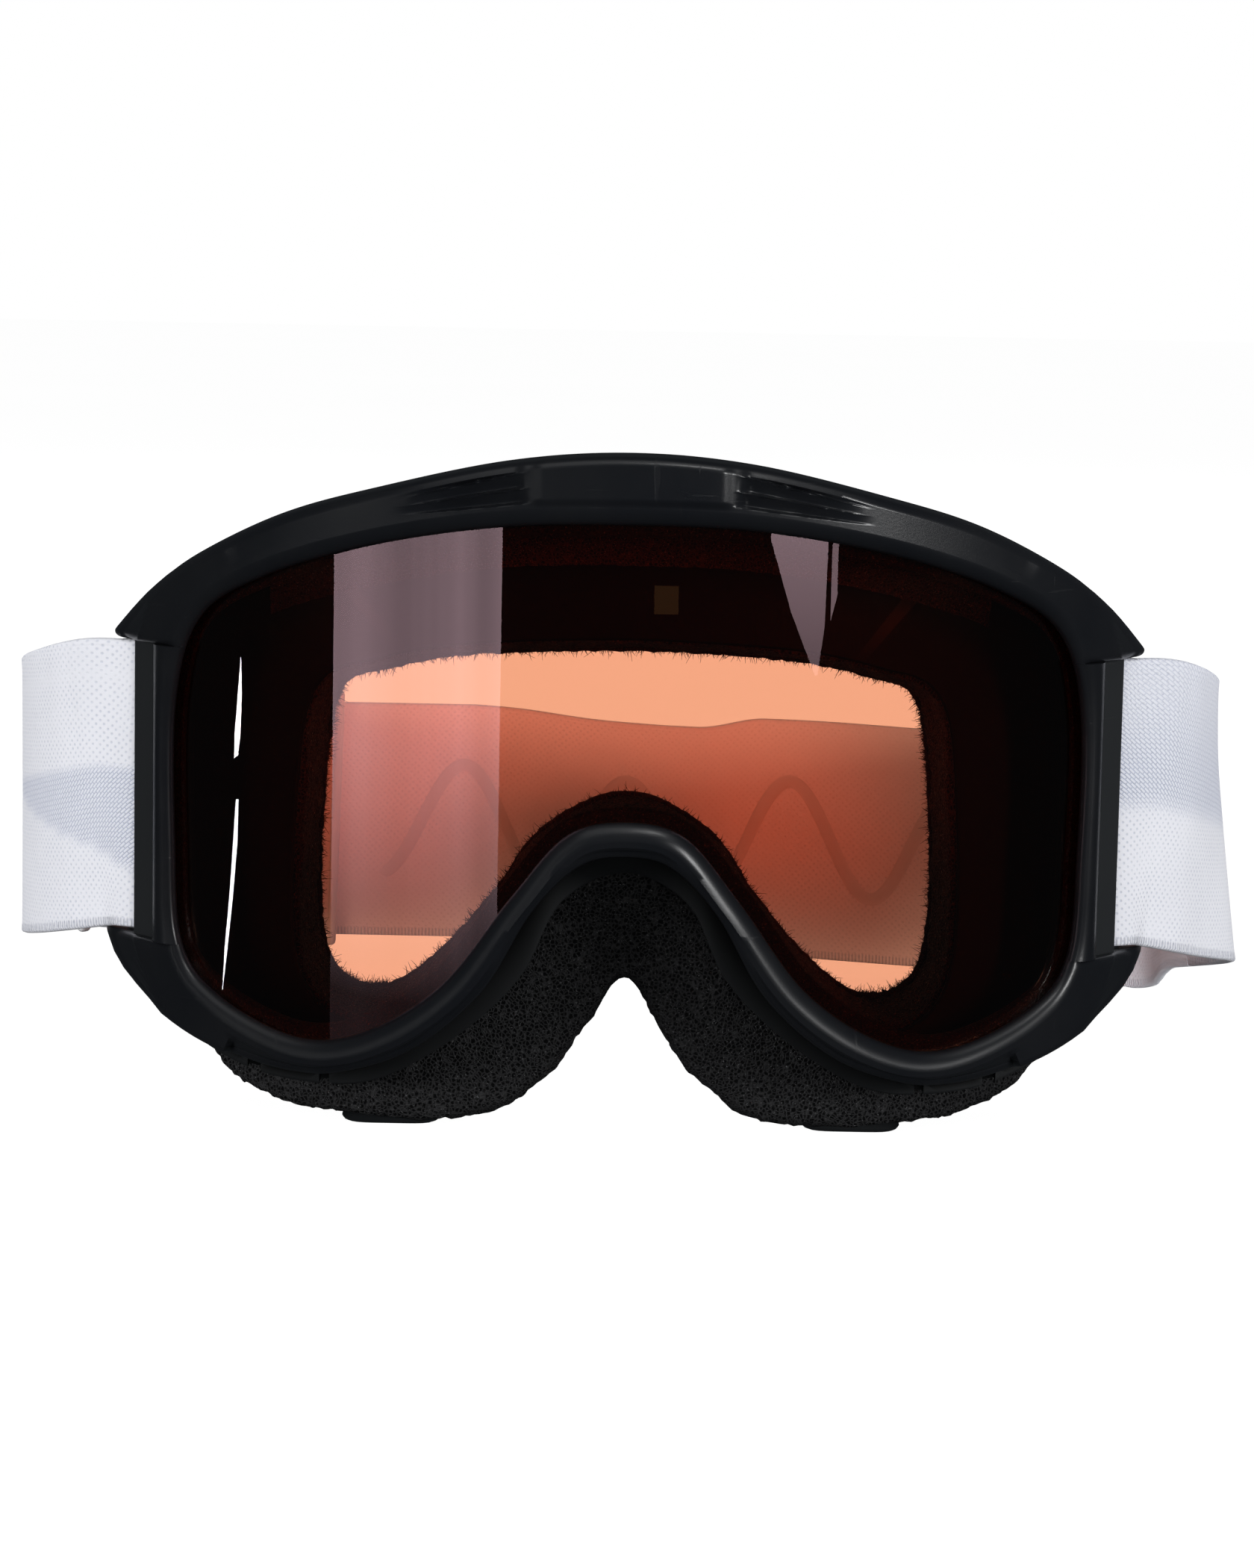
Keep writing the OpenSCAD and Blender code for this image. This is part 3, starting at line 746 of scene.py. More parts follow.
def build_body():
    """The wall behind the rim. Beside the nose its lip runs further in, behind the rim's edge."""
    count = 300
    b = marked(BODY_HALF, BODY_MARKS, count)
    e = marked(FACE_HALF, FACE_MARKS, count)
    e = e + outward(e) * 3.0
    e[0, 0] = e[-1, 0] = 0
    sections = []
    for start, end in zip(b, e):
        way = end - start
        length = np.linalg.norm(way)
        way /= length
        nose = (1 - step(40, 52, start[0])) * (1 - step(56, 66, start[1]))
        outer, inner = wall_profile(length, WALL_T + 0.5 + 7.8 * nose)
        row = []
        for n, d in outer + inner:
            x, z = start + way * n
            row.append((x, sag(x) + d, z))
        sections.append(row)
    body = ring_object("frame_body", sections, charcoal)
    rings = len(body.data.vertices) // len(outer + inner)
    # Shade 1 marks the inner faces, which the material paints nearly black as painted shade.
    mark_points(body, "shade", "FLOAT", "value", ([0.0] * len(outer) + [1.0] * len(inner)) * rings)
    verts, faces = vent_cutters()
    cutter = make("vent cutters", place(verts), faces, charcoal)
    cut = body.modifiers.new("vents", "BOOLEAN")
    cut.operation, cut.solver, cut.object = "DIFFERENCE", "EXACT", cutter
    bpy.context.view_layer.objects.active = body
    bpy.ops.object.modifier_apply(modifier=cut.name)
    bpy.data.objects.remove(cutter)
    body.data.set_sharp_from_angle(angle=math.radians(38))
    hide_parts("frame_body")


# ---------------------------------------------------------------- lens

def lens_outline(extra):
    """The lens's half outline grown by extra, with its outward normals."""
    poly = half_curve(LENS_HALF, 24)
    n = outward(poly)
    n[0], n[-1] = (0, 1), (0, -1)
    return poly + n * extra, n


def lens_y(x, radius):
    return LENS_R - math.sqrt(radius * radius - x * x)


def plate(name, radius, thick, material):
    """A cylindrical plate cut to the lens outline, as columns from its lower to its upper edge."""
    poly, _ = lens_outline(LENS_COVER - 0.1)
    turn = int(np.argmax(poly[:, 0]))
    upper, lower = poly[: turn + 1], poly[turn:][::-1]
    widest = math.asin((poly[turn, 0] - 0.02) / LENS_R)
    xs = LENS_R * np.sin(widest * np.linspace(-1, 1, 121))
    tops = np.interp(np.abs(xs), upper[:, 0], upper[:, 1])
    lows = np.interp(np.abs(xs), lower[:, 0], lower[:, 1])
    cols, rows = len(xs), 20
    verts = []
    for r in (radius, radius - thick):
        for x, lo, hi in zip(xs, lows, tops):
            verts += [(x, lens_y(x, r), lo + (hi - lo) * k / (rows - 1)) for k in range(rows)]
    half = cols * rows
    front = grid_faces(cols, rows)
    faces = front + [tuple(i + half for i in f)[::-1] for f in front]
    low_edge = [c * rows for c in range(cols)]
    far_side = [(cols - 1) * rows + k for k in range(1, rows)]
    high_edge = [c * rows + rows - 1 for c in range(cols - 2, -1, -1)]
    edge = low_edge + far_side + high_edge + list(range(rows - 2, 0, -1))
    for a, b in zip(edge, edge[1:] + edge[:1]):
        faces.append((a, b, b + half, a + half))
    lens = make(name, place(verts), faces, material, "goggle_frame", sharp=50)
    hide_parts(name)


def build_spacer():
    """The foam strip between the two lenses, a little inside their edge."""
    poly, n = lens_outline(0)
    s = lengths(poly)
    at = np.linspace(0, s[-1], 260)
    ways = np.stack([np.interp(at, s, n[:, k]) for k in range(2)], axis=1)
    # Corners of its cross-section: the offset outwards from the lens's edge, and the radius
    corners = [(1.3, 102.7), (1.3, 99.5), (-1.6, 99.5), (-1.95, 100.0), (-2.0, 101.1), (-1.95, 102.3),
               (-1.6, 102.7)]
    sections = []
    for p, way in zip(along(poly, at), ways):
        row = []
        for off, r in corners:
            x, z = p + way * off
            row.append((x, lens_y(x, r), z))
        sections.append(row)
    spacer = ring_object("lens_spacer", sections, spacer_black, sharp=50)
    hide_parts("lens_spacer")


# ---------------------------------------------------------------- foam

def behind(points):
    """Points (x, z) with depths behind the lens face, as points in millimetres."""
    return [(q[0], sag(q[0]) + d, q[1]) for q, d in points]


def foam_step(b, inward, f):
    """The foam's front face: from the frame's step it flares out to its rounded edge at f."""
    start = b + inward * 1.0
    reach = np.linalg.norm(f - start)
    flare = max(0.0, min(1.0, float(np.dot(f - b, -inward)) / 12))
    edge = min(2.2, reach * 0.6) if reach > 1 else 0.6
    row = []
    for t in np.linspace(0, 1, 15):
        d = FRAME_DEPTH + 0.06 + 3.2 * flare * t ** 1.6
        left = reach * (1 - t)
        if left < edge:
            d += (1 - math.sqrt(max(0, 1 - ((edge - left) / edge) ** 2))) * edge
        row.append((start + (f - start) * t, d))
    return row


def build_foam():
    """The face foam: from the frame's step over its round edge to the fleece, and in to the opening."""
    sections = []
    for b, e, f in zip(*[marked(half, marks, 330) for half, marks in FOAM_LINES]):
        inward = (e - b) / np.linalg.norm(e - b)
        row = foam_step(b, inward, f)
        row += [(f, d) for d in np.linspace(row[-1][1] + 0.9, FOAM_BACK - 0.9, 11)]
        span = np.linalg.norm(e - f)
        across = (e - f) / span
        row.append((f + across * 0.3, FOAM_BACK - 0.25))
        row += [(f + across * n, FOAM_BACK) for n in np.linspace(1.1, span - 1.0, 16)]
        row.append((e - across * 0.25, FOAM_BACK - 0.3))
        for t in np.linspace(0, 1, 11):
            row.append((e - across * (0.1 + 2.6 * t), FOAM_BACK - 1.0 - (FOAM_BACK - FRAME_DEPTH - 1.3) * t))
        row.append((e + (row[0][0] - e) * 0.5, FRAME_DEPTH + 0.06))
        sections.append(behind(row))
    foam = ring_object("face_foam", sections, foam_black, rough=[(0.42, 1.3, 3.0), (0.5, 7.0, 9.0)])
    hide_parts("face_foam")


def build_fleece():
    """The soft layer on the back of the foam, a little domed."""
    sections = []
    for e, f in zip(*[marked(half, marks, 300) for half, marks in FOAM_LINES[1:]]):
        span = np.linalg.norm(e - f)
        across = (e - f) / span
        row = [(f + across * 0.5, FOAM_BACK + 0.06), (f + across * 0.35, FOAM_BACK + 0.7),
               (f + across * 0.9, FLEECE_BACK - 0.25)]
        for n in np.linspace(1.8, span - 1.0, 9):
            crown = 0.45 * math.sin(math.pi * (n - 1.8) / (span - 2.8))
            row.append((f + across * n, FLEECE_BACK + crown))
        row += [(e + across * 0.1, FLEECE_BACK - 0.4), (e + across * 0.5, FOAM_BACK + 0.6),
                (e + across * 0.3, FOAM_BACK + 0.06)]
        sections.append(behind(row))
    obj = ring_object("face_fleece", sections, fleece, rough=[(0.3, 1.1, 5.0)])
    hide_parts("face_fleece")


def build_fuzz():
    """Loose fibres along the edge of the eye opening: each is a short three-sided spike that curls."""
    rng = np.random.default_rng(11)
    fibres, places, thickness = 5200, 400, 0.085
    e = marked(FACE_HALF, FACE_MARKS, places)
    inward = -outward(e)
    verts, faces = [], []
    for _ in range(fibres):
        i = int(rng.integers(0, places))
        mirror = (1 if rng.random() < 0.5 else -1, 1)
        base, way = e[i] * mirror, inward[i] * mirror
        d = FOAM_BACK - 1.0 + rng.random() * 2.2
        length = 0.4 + 0.9 * rng.random() ** 2
        lean = rng.normal(0, 0.7, 2)
        root = np.array([base[0], sag(base[0]) + d, base[1]])
        tip_way = np.array([way[0], lean[0] * 0.5, way[1]]) + np.array([-way[1], 0, way[0]]) * lean[1]
        tip_way /= np.linalg.norm(tip_way)
        curl = rng.normal(0, 0.35, 3)
        across = np.cross(tip_way, (0, 1, 0))
        across /= max(np.linalg.norm(across), 1e-6)
        up = np.cross(across, tip_way)
        first = len(verts)
        for t in (-0.25, 0.35, 0.75, 1.0):
            centre = root + tip_way * length * t + curl * length * t * t
            r = thickness * (1 - 0.7 * max(t, 0))
            for a in (0, 2.094, 4.189):
                verts.append(centre + (across * math.cos(a) + up * math.sin(a)) * r)
        for a in (first, first + 3, first + 6):
            faces += [(a + m, a + (m + 1) % 3, a + 3 + (m + 1) % 3, a + 3 + m) for m in range(3)]
        faces += [(first + 2, first + 1, first), (first + 9, first + 10, first + 11)]
    obj = make("fleece_fibres", place(verts), faces, fleece, "goggle_frame")


def vent_line(x, top):
    """A vent foam's line (z, depth) at x. On top it slopes from behind the rim down to the flange."""
    front, back = RIM_DEPTH + 0.3, FRAME_DEPTH - FLANGE_T - 0.15
    if top:
        outline = half_curve(LENS_HALF, 24)[: 24 * 5]
        z = float(np.interp(abs(x), outline[:, 0], outline[:, 1]))
        return [(z + 3.4 - 10.9 * t, front + (back - front) * (1 - (1 - t) ** 1.6))
                for t in np.linspace(0, 1, 16)]
    outline = half_curve(BODY_HALF, 24)[24 * 8:24 * 14]
    order = np.argsort(outline[:, 0])
    z = float(np.interp(abs(x), outline[order, 0], outline[order, 1])) + WALL_T + 0.1
    return [(z + 0.4 * math.sin(3.14 * t), front + (back - front - 0.05) * t) for t in np.linspace(0, 1, 10)]


def build_vent_foam(name, x_from, x_to, top):
    """Thin foam over the vents, on the inside of the wall."""
    thick = 1.6 if top else 2.0
    rows = []
    for x in np.linspace(x_from, x_to, 120 if top else 30):
        line = vent_line(x, top)
        row = [(x, sag(x) + d, z) for z, d in line]
        rows.append(row + [(x, sag(x) + d - 0.05, z + thick) for z, d in line[::-1]])
    pts = np.array(rows)
    n, k, _ = pts.shape
    soft = roughen(pts.reshape(-1, 3), 0.25, 1.6, 2.0)
    obj = make(name, place(soft), capped_faces(n, k), foam_brown, "goggle_frame", sharp=60)
    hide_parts(name)


def build_strip(word):
    """The smooth strip under one cheek: a low pad with round corners and a soft top edge."""
    node = f"cheek_strip_{word}"
    low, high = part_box(node)
    centre, half = (low + high) / 2, (high - low) / 2
    levels = ((0.0, 1.6), (0.1, 0.9), (0.35, 0.35), (0.8, 0.0), (1.3, 0.5), (1.6, 1.6), (1.7, 3.0))
    verts = []
    for z, inset in levels:
        for k in range(48):
            a = 2 * math.pi * k / 48
            c, s = math.cos(a), math.sin(a)
            grow = (abs(c) ** 5 + abs(s) ** 5) ** (-1 / 5)
            x = centre.x + (half.x - inset * MM) * c * grow
            y = centre.y + 0.0015 + (half.y - (inset + 2.0) * MM) * s * grow
            verts.append((x, y, z * MM))
    obj = make(node, verts, capped_faces(len(levels), 48), skin_black, "goggle_frame", sharp=60)
    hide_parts(node)


# ---------------------------------------------------------------- strap

def side_plan(side):
    """The near part of one side in plan: sewn round its rod, then out and back. Points from the sewn end."""
    sewn = [(90.2, 50.8), (86.4, 45.6), (82.9, 42.9), (80.7, 42.5), (78.8, 43.45), (76.9, 42.6), (76.35, 41),
            (76.9, 39.4), (78.8, 38.55), (80.9, 39.3), (84, 41.2)]
    if side < 0:
        out = [(87.8, 44.4), (92.4, 49.6), (96.7, 57), (99.9, 65.5), (101.9, 75), (102.7, 85), (102.4, 95)]
    else:
        out = [(87.6, 44.2), (91.8, 49.5), (95.6, 57.5), (98.8, 66.5), (100.8, 76), (101.7, 85.5),
               (101.9, 95)]
    p = catmull(sewn + out, 10, False)
    return np.stack([side * p[:, 0], p[:, 1]], axis=1)


def side_fall(side):
    """For each point of side_plan: how far the strap has dropped there, and its slope."""
    p = side_plan(side)
    s = lengths(p)
    s = s - s[90]                      # from where it leaves the rod
    first, later = NEAR_SLOPE[side], FAR_SLOPE[side]
    slope = (first + (later - first) * step(12, 40, s)) * step(0, 9, s)
    slope = np.where(s < -10, np.interp(-s, [10, 24], [0, first]) * -1, slope)
    fall = np.concatenate([[0], np.cumsum(slope[:-1] * np.diff(s))])
    return p, fall - np.interp(0, s, fall), np.abs(slope)


FALL = {side: float(side_fall(side)[1][-1]) for side in (-1, 1)}


def rear_lean(x, y):
    """How far the top of the rear band leans back, more in the middle than at its ends."""
    lean = 13 + 4 * step(-22, 0, x) - 13 * step(5, 45, x)
    return math.radians(lean) * step(140, 172, y)


def hang(x, y, dz):
    """A point of the loop behind Y = SPLIT_Y, drawn level, moved to where the hanging strap has it."""
    mix = min(1.0, max(0.0, (x + 30) / 131))
    slope = FAR_SLOPE[-1] + (FAR_SLOPE[1] - FAR_SLOPE[-1]) * mix
    lean = math.atan(slope)
    back = (y - SPLIT_Y) * math.cos(lean)
    bow = 1.7 * (1 - mix) * math.sin(math.pi * min(1.0, max(0.0, back / 80)))
    fall = FALL[-1] + (FALL[1] - FALL[-1]) * mix + slope * back - bow
    fall += (0.5 + 3.2 * mix) * step(135, 170, y)
    lean += rear_lean(x, y)
    z = STRAP_Z - fall + dz * math.cos(lean) + rear_lift(x, y)
    return (x, SPLIT_Y + back + dz * math.sin(lean), max(0.3, z))


def arc(cx, cy, r, a, b, n):
    t = np.radians(np.linspace(a, b, n + 1))
    return np.stack([cx + r * np.cos(t), cy + r * np.sin(t)], axis=1)


def twist(x, y):
    """The right side leans out at its lower edge between the post and the rear bend."""
    if x < 0:
        return 0.0
    return 2.9 * step(52, 76, y) * (1 - step(105, 150, y))


def rear_lift(x, y):
    """Small rises and dips of the band across the rear."""
    rear = step(150, 170, y)
    right = 1.3 * step(14, 27, x) * (1 - step(62, 80, x))
    middle = 0.7 * step(-26, -6, x) * (1 - step(14, 27, x))
    return rear * (right - middle)


def tone_at(side, run, dz):
    """The strap's print at a point: 1 in the lavender fields, 0 on dotted white, -1 where it is plain."""
    if side < 0:
        low = 1.2 - 15.5 * (1 - min(1.0, max(0.0, run / 46))) ** 1.15
        field = (1 - step(2.4, 3.6, dz)) * step(low - 0.9, low + 0.9, dz)
        plain = step(16.0, 16.8, dz) * (1 - step(18.2, 19.0, dz))
        return field * (1 - step(66, 86, run)) - plain
    if side > 0:
        field = step(-2.5, 1.5, dz) * (1 - 0.45 * step(4, 20, dz))
        return field * (1 - step(66, 86, run))
    return 0.35 * step(0.1, 0.6, math.sin(run / 19 + dz / 13)) - 0.85


def strap_profile():
    """Half widths and thicknesses round one cross-section of the webbing, with soft rolled edges."""
    ht = STRAP_T / 2
    across = np.linspace(1, -1, 27)
    inner = STRAP_HALF - 0.5
    profile = [(v * inner, ht) for v in across]
    profile += [(-STRAP_HALF + 0.18, ht * 0.72), (-STRAP_HALF, 0), (-STRAP_HALF + 0.18, -ht * 0.72)]
    profile += [(v * inner, -ht) for v in across[::-1]]
    profile += [(STRAP_HALF - 0.18, -ht * 0.72), (STRAP_HALF, 0), (STRAP_HALF - 0.18, ht * 0.72)]
    return profile


def ribbon(name, path, gap, node, body=None, side=0, fall=None, slope=None):
    """A band of webbing along a plan (x, y) that stands for a node. It hangs, or drops by fall and slope."""
    s = lengths(path)
    n = max(3, int(s[-1] / gap))
    at = np.linspace(0, s[-1], n)
    p = along(path, at)
    t = tangents(p)
    out = np.stack([t[:, 1], -t[:, 0]], axis=1)
    if fall is not None:
        fall = np.interp(at, s, fall)
        lean = np.arctan(np.interp(at, s, slope))
    start = 23 if fall is not None else -60      # where along the path the print begins
    profile = strap_profile()
    verts, marks = [], []
    for i in range(n):
        x, y = p[i]
        swing = twist(x, y)
        for dz, off in profile:
            edge = max(0.0, (abs(dz) - STRAP_HALF + 1.6) / 1.6)
            o = off * (1 + (0.10 + 0.08 * math.sin(2 * math.pi * at[i] / 0.9 + dz)) * edge)
            px = x + out[i, 0] * o - swing * dz / STRAP_HALF
            py = y + out[i, 1] * o
            if fall is None:
                verts.append(hang(px, py, dz))
            else:
                along_t = dz * math.sin(lean[i])
                verts.append((px + t[i, 0] * along_t, py + t[i, 1] * along_t,
                              STRAP_Z - fall[i] + dz * math.cos(lean[i])))
            marks.append((at[i] * MM, dz * MM, tone_at(side, at[i] - start, dz)))
    obj = make(name, place(verts), capped_faces(n, len(profile)), strap_white, body, sharp=70)
    mark_points(obj, "strap_at", "FLOAT_VECTOR", "vector", marks)
    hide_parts(node)
    return obj


def build_side(side, word):
    """One side of the strap: a near part that is sewn round its rod, and a far part behind it."""
    path, fall, slope = side_fall(side)
    near = ribbon(f"strap_near_{word}", path, 0.5, f"strap_root_{word}", side=side, fall=fall, slope=slope)
    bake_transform(near)
    far = LOOP_RIGHT if side > 0 else -LOOP_LEFT
    wide = 101.9 if side > 0 else 102.4
    plan = [(wide, 94.9), (wide + (far - wide) * 0.4, 104), (far, 115), (far, SIDE_END_Y + 0.35)]
    far_path = catmull(plan, 8, False) * np.array([side, 1])
    back = ribbon(f"strap_side_{word}", far_path, 0.5, f"strap_side_{word}", side=side)
    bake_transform(back)


def build_rear():
    x0 = LOOP_LEFT
    long_path = np.concatenate([
        [[LOOP_RIGHT, SIDE_END_Y + 0.3]],
        arc(LOOP_RIGHT - BEND_R, LOOP_DEPTH - BEND_R, BEND_R, 0, 90, 24),
        arc(x0 + BEND_R, LOOP_DEPTH - BEND_R, BEND_R, 90, 180, 24),
        arc(RING_X, RING_REAR_Y, WRAP_R, 0, -180, 20)])
    ribbon("strap_long", long_path, 0.8, "strap_long", "strap_rear")
    eye = np.concatenate([[[x0, SIDE_END_Y + 0.3], [x0, RING_FRONT_Y - 1.2]],
                          arc(RING_X, RING_FRONT_Y, WRAP_R, 0, 200, 20),
                          [[RING_X - WRAP_R + 0.3, RING_FRONT_Y - 3.0],
                           [x0 - STRAP_T - 0.1, RING_FRONT_Y - 7.5]]])
    ribbon("ring_eye", eye, 0.5, "ring_eye", "strap_rear", side=-1)
    out = 2 * WRAP_R
    control = np.concatenate([
        [[x0 - out, RING_REAR_Y + 0.1], [x0 - out, 150]],
        arc(x0 + BEND_R, LOOP_DEPTH - BEND_R, BEND_R + out, 180, 92, 8),
        [[-SLIDER_X - 5.5, LOOP_DEPTH + 2.6], [-SLIDER_X - 2.6, TAIL_Y + WRAP_R - 0.4]],
        arc(-SLIDER_X, TAIL_Y, WRAP_R, 120, 0, 6)])
    back = ribbon("strap_return", catmull(control, 4, False), 0.8, "strap_return")
    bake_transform(back)
    tail = np.concatenate([arc(-SLIDER_X, TAIL_Y, WRAP_R, 0, -90, 8),
                           [[-SLIDER_X - 4, TAIL_Y - WRAP_R], [-SLIDER_X - 10, TAIL_Y - WRAP_R + 0.05]]])
    ribbon("tail_eye", tail, 0.4, "tail_eye", "slider")


def hung(points):
    """Points of the level loop moved to the hanging strap."""
    return [hang(x, y, dz) for x, y, dz in points]


def rounded(points, radius, per=5):
    """A closed path with its corners rounded."""
    p = np.asarray(points, float)
    out = []
    for i in range(len(p)):
        a, b, c = p[i - 1], p[i], p[(i + 1) % len(p)]
        u, v = a - b, c - b
        r = min(radius, np.linalg.norm(u) / 2.01, np.linalg.norm(v) / 2.01)
        start, end = b + u / np.linalg.norm(u) * r, b + v / np.linalg.norm(v) * r
        for k in range(per + 1):
            w = k / per
            out.append((1 - w) ** 2 * start + 2 * w * (1 - w) * b + w * w * end)
    return np.array(out)


def build_ring():
    h = STRAP_HALF + 0.9
    corners = [(RING_X, RING_FRONT_Y, -h), (RING_X, RING_REAR_Y, -h),
               (RING_X, RING_REAR_Y, h), (RING_X, RING_FRONT_Y, h)]
    verts, faces = tube(hung(rounded(corners, 1.6)), 0.85, True)
    obj = make("strap_ring", place(verts), faces, buckle_white, "strap_rear")
    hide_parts("strap_ring")


def build_slider():
    """A frame that bows round the strap, with the bar that the tail is sewn to."""
    h = STRAP_HALF + 1.3
    rail = [(-SLIDER_X + 6.2 * math.sin(a), KEEPER_Y + (TAIL_Y - KEEPER_Y) * math.cos(a) ** 2)
            for a in np.linspace(-math.pi / 2, math.pi / 2, 15)]
    low = [(x, y, -h) for x, y in rail]
    high = [(x, y, h) for x, y in rail[::-1]]
    rails = tube(hung(rounded(low + high, 1.4, 3)), 0.85, True)
    bar = tube(hung([(-SLIDER_X, TAIL_Y, dz) for dz in (-h, 0, h)]), BAR_R, False)
    verts, faces = join([rails, bar])
    obj = make("slider", place(verts), faces, buckle_white, "slider")
    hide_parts("slider")


def build_stitches(name, spot, body):
    """A row of short stitches. spot(dz) gives a point of the row in millimetres."""
    parts = []
    for i in range(17):
        dz = (i - 8) * 2.6
        a, b = np.array(spot(dz - 0.95)), np.array(spot(dz + 0.95))
        parts.append(tube([a + (b - a) * t for t in (0, 0.12, 0.5, 0.88, 1)], 0.24, False, 6))
    verts, faces = join(parts)
    obj = make(name, place(verts), faces, thread_white, body)
    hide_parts(name)


def build_grip():
    """Silicone beading on the inside of the rear: a low round wave."""
    xs = np.linspace(-48, 66, 400)
    height, turn = 11, 2 * math.pi / 32
    verts = []
    for i, x in enumerate(xs):
        dz = height * math.cos(turn * x)
        slope = -height * turn * math.sin(turn * x)
        nx, nz = -slope / math.hypot(1, slope), 1 / math.hypot(1, slope)
        ends = min(1.0, (i + 1) / 6, (len(xs) - i) / 6)
        for k in range(8):
            a = math.pi * k / 7
            w, h = 1.3 * math.cos(a) * ends, 0.28 * math.sin(a) * ends
            verts.append(hang(x + nx * w, LOOP_DEPTH - STRAP_T / 2 + 0.05 - h, dz + nz * w))
    obj = make("grip_wave", place(verts), capped_faces(len(xs), 8), silicone, "strap_rear", sharp=80)
    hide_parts("grip_wave")


def paint_rods():
    """The rods keep the model's own shape."""
    for name in ("strap_rod_left", "strap_rod_right"):
        mesh = frame["nodes"][name].data
        mesh.materials.clear()
        mesh.materials.append(rod_black)


# ---------------------------------------------------------------- camera, light and floor

def build_camera():
    data = bpy.data.cameras.new("camera")
    cam = bpy.data.objects.new("camera", data)
    bpy.context.scene.collection.objects.link(cam)
    data.lens, data.sensor_width, data.sensor_fit = 96.14, 36, "AUTO"
    data.clip_start, data.clip_end = 0.02, 50
    turn = Matrix.Rotation(math.radians(82.38), 4, "X") @ Matrix.Rotation(math.radians(1.1), 4, "Z")
    cam.matrix_world = Matrix.Translation((0, APEX_Y - 0.630, 0.144)) @ turn
    bpy.context.scene.camera = cam


def build_world():
    """White to the eye, and a faint sky to everything else."""
    world = bpy.data.worlds.new("world")
    bpy.context.scene.world = world
    sky = Nodes(world)
    straight, mirrored = sky.ray_kinds()
    tones = [(rgb(1, 1, 1), 1.0), (rgb(0.96, 0.98, 1.0), 0.1), (rgb(0.8, 0.9, 1.0), 0.03)]
    seen, soft, gloss = [sky.add("ShaderNodeBackground", {"Color": colour, "Strength": strength}).outputs[0]
                         for colour, strength in tones]
    unseen = sky.add("ShaderNodeMixShader", {0: mirrored, 1: soft, 2: gloss}).outputs[0]
    shown = sky.add("ShaderNodeMixShader", {0: straight, 1: unseen, 2: seen}).outputs[0]
    sky.add("ShaderNodeOutputWorld", {"Surface": shown})


def lamp(name, at, size, power, glossy=False):
    """A rectangular lamp that faces the goggles."""
    target = (0, APEX_Y + 0.05, 0.05)
    data = bpy.data.lights.new(name, "AREA")
    data.shape, data.size, data.size_y = "RECTANGLE", size[0], size[1]
    data.energy = power
    obj = bpy.data.objects.new(name, data)
    bpy.context.scene.collection.objects.link(obj)
    obj.location = at
    obj.rotation_euler = (Vector(target) - Vector(at)).to_track_quat("-Z", "Y").to_euler()
    obj.visible_camera = obj.visible_transmission = False
    obj.visible_glossy = glossy


def card(name, corners, strength, fade=None, colour=(1, 1, 1), streaks=False):
    """A glowing panel that shows as a reflection in the lens. corners are (azimuth, height) at 1 m."""
    middle = Vector((0, APEX_Y + 0.02, 0))
    verts = []
    for az, z in corners:
        a = math.radians(az)
        verts.append(middle + Vector((math.sin(a), -math.cos(a), z)))
    mesh = bpy.data.meshes.new(name)
    mesh.from_pydata([tuple(v) for v in verts], [], [tuple(range(len(verts)))])
    obj = bpy.data.objects.new("card " + name, mesh)
    bpy.context.scene.collection.objects.link(obj)
    s = Shader(name)
    height = s.add("ShaderNodeSeparateXYZ", {0: s.coords}).outputs[2]
    power = s.ramp(height, fade[0], fade[1], fade[2] * strength, strength) if fade else strength
    if streaks:
        folds = s.noise(7, 2, 0.5, s.stretched((1, 1, 0.04)))
        power = s.math("MULTIPLY", power, s.ramp(folds, 0.35, 0.6, 0.72, 1.0))
    glow = s.add("ShaderNodeEmission", {"Color": rgb(*colour), "Strength": power}).outputs[0]
    mesh.materials.append(s.finish(glow))
    obj.visible_camera = obj.visible_transmission = obj.visible_diffuse = obj.visible_shadow = False


def keep_to(title, wanted, lamps):
    """Let lamps reach only the pieces whose plain names pass a test."""
    group = bpy.data.collections.new(title)
    for obj in list(bpy.context.scene.collection.all_objects):
        if obj.type == "MESH" and wanted(obj.name.split(".")[0]):
            group.objects.link(obj)
    for obj in lamps:
        obj.light_linking.receiver_collection = group


def share_light():
    """The panels show only in the lenses. The rear band is lit through the tinted lens, not from above."""
    cards = [obj for obj in bpy.context.scene.collection.all_objects if obj.name.startswith("card ")]
    tops = [bpy.data.objects["top soft"]]
    sheens = [bpy.data.objects[name] for name in ("sheen left", "sheen right", "brow sheen")]
    band = [bpy.data.objects[name] for name in ("through the lens", "top band")]
    keep_to("lenses", lambda name: name in ("outer_lens", "inner_lens"), cards)
    keep_to("near pieces", lambda name: name not in REAR_BAND, tops)
    keep_to("black plastics", lambda name: name in ("front_rim", "frame_body"), sheens)
    keep_to("rear band", lambda name: name in REAR_BAND, band)


REAR_BAND = ("strap_long", "ring_eye", "strap_return", "tail_eye", "grip_wave", "strap_ring", "slider",
             "ring_stitch", "tail_stitch")


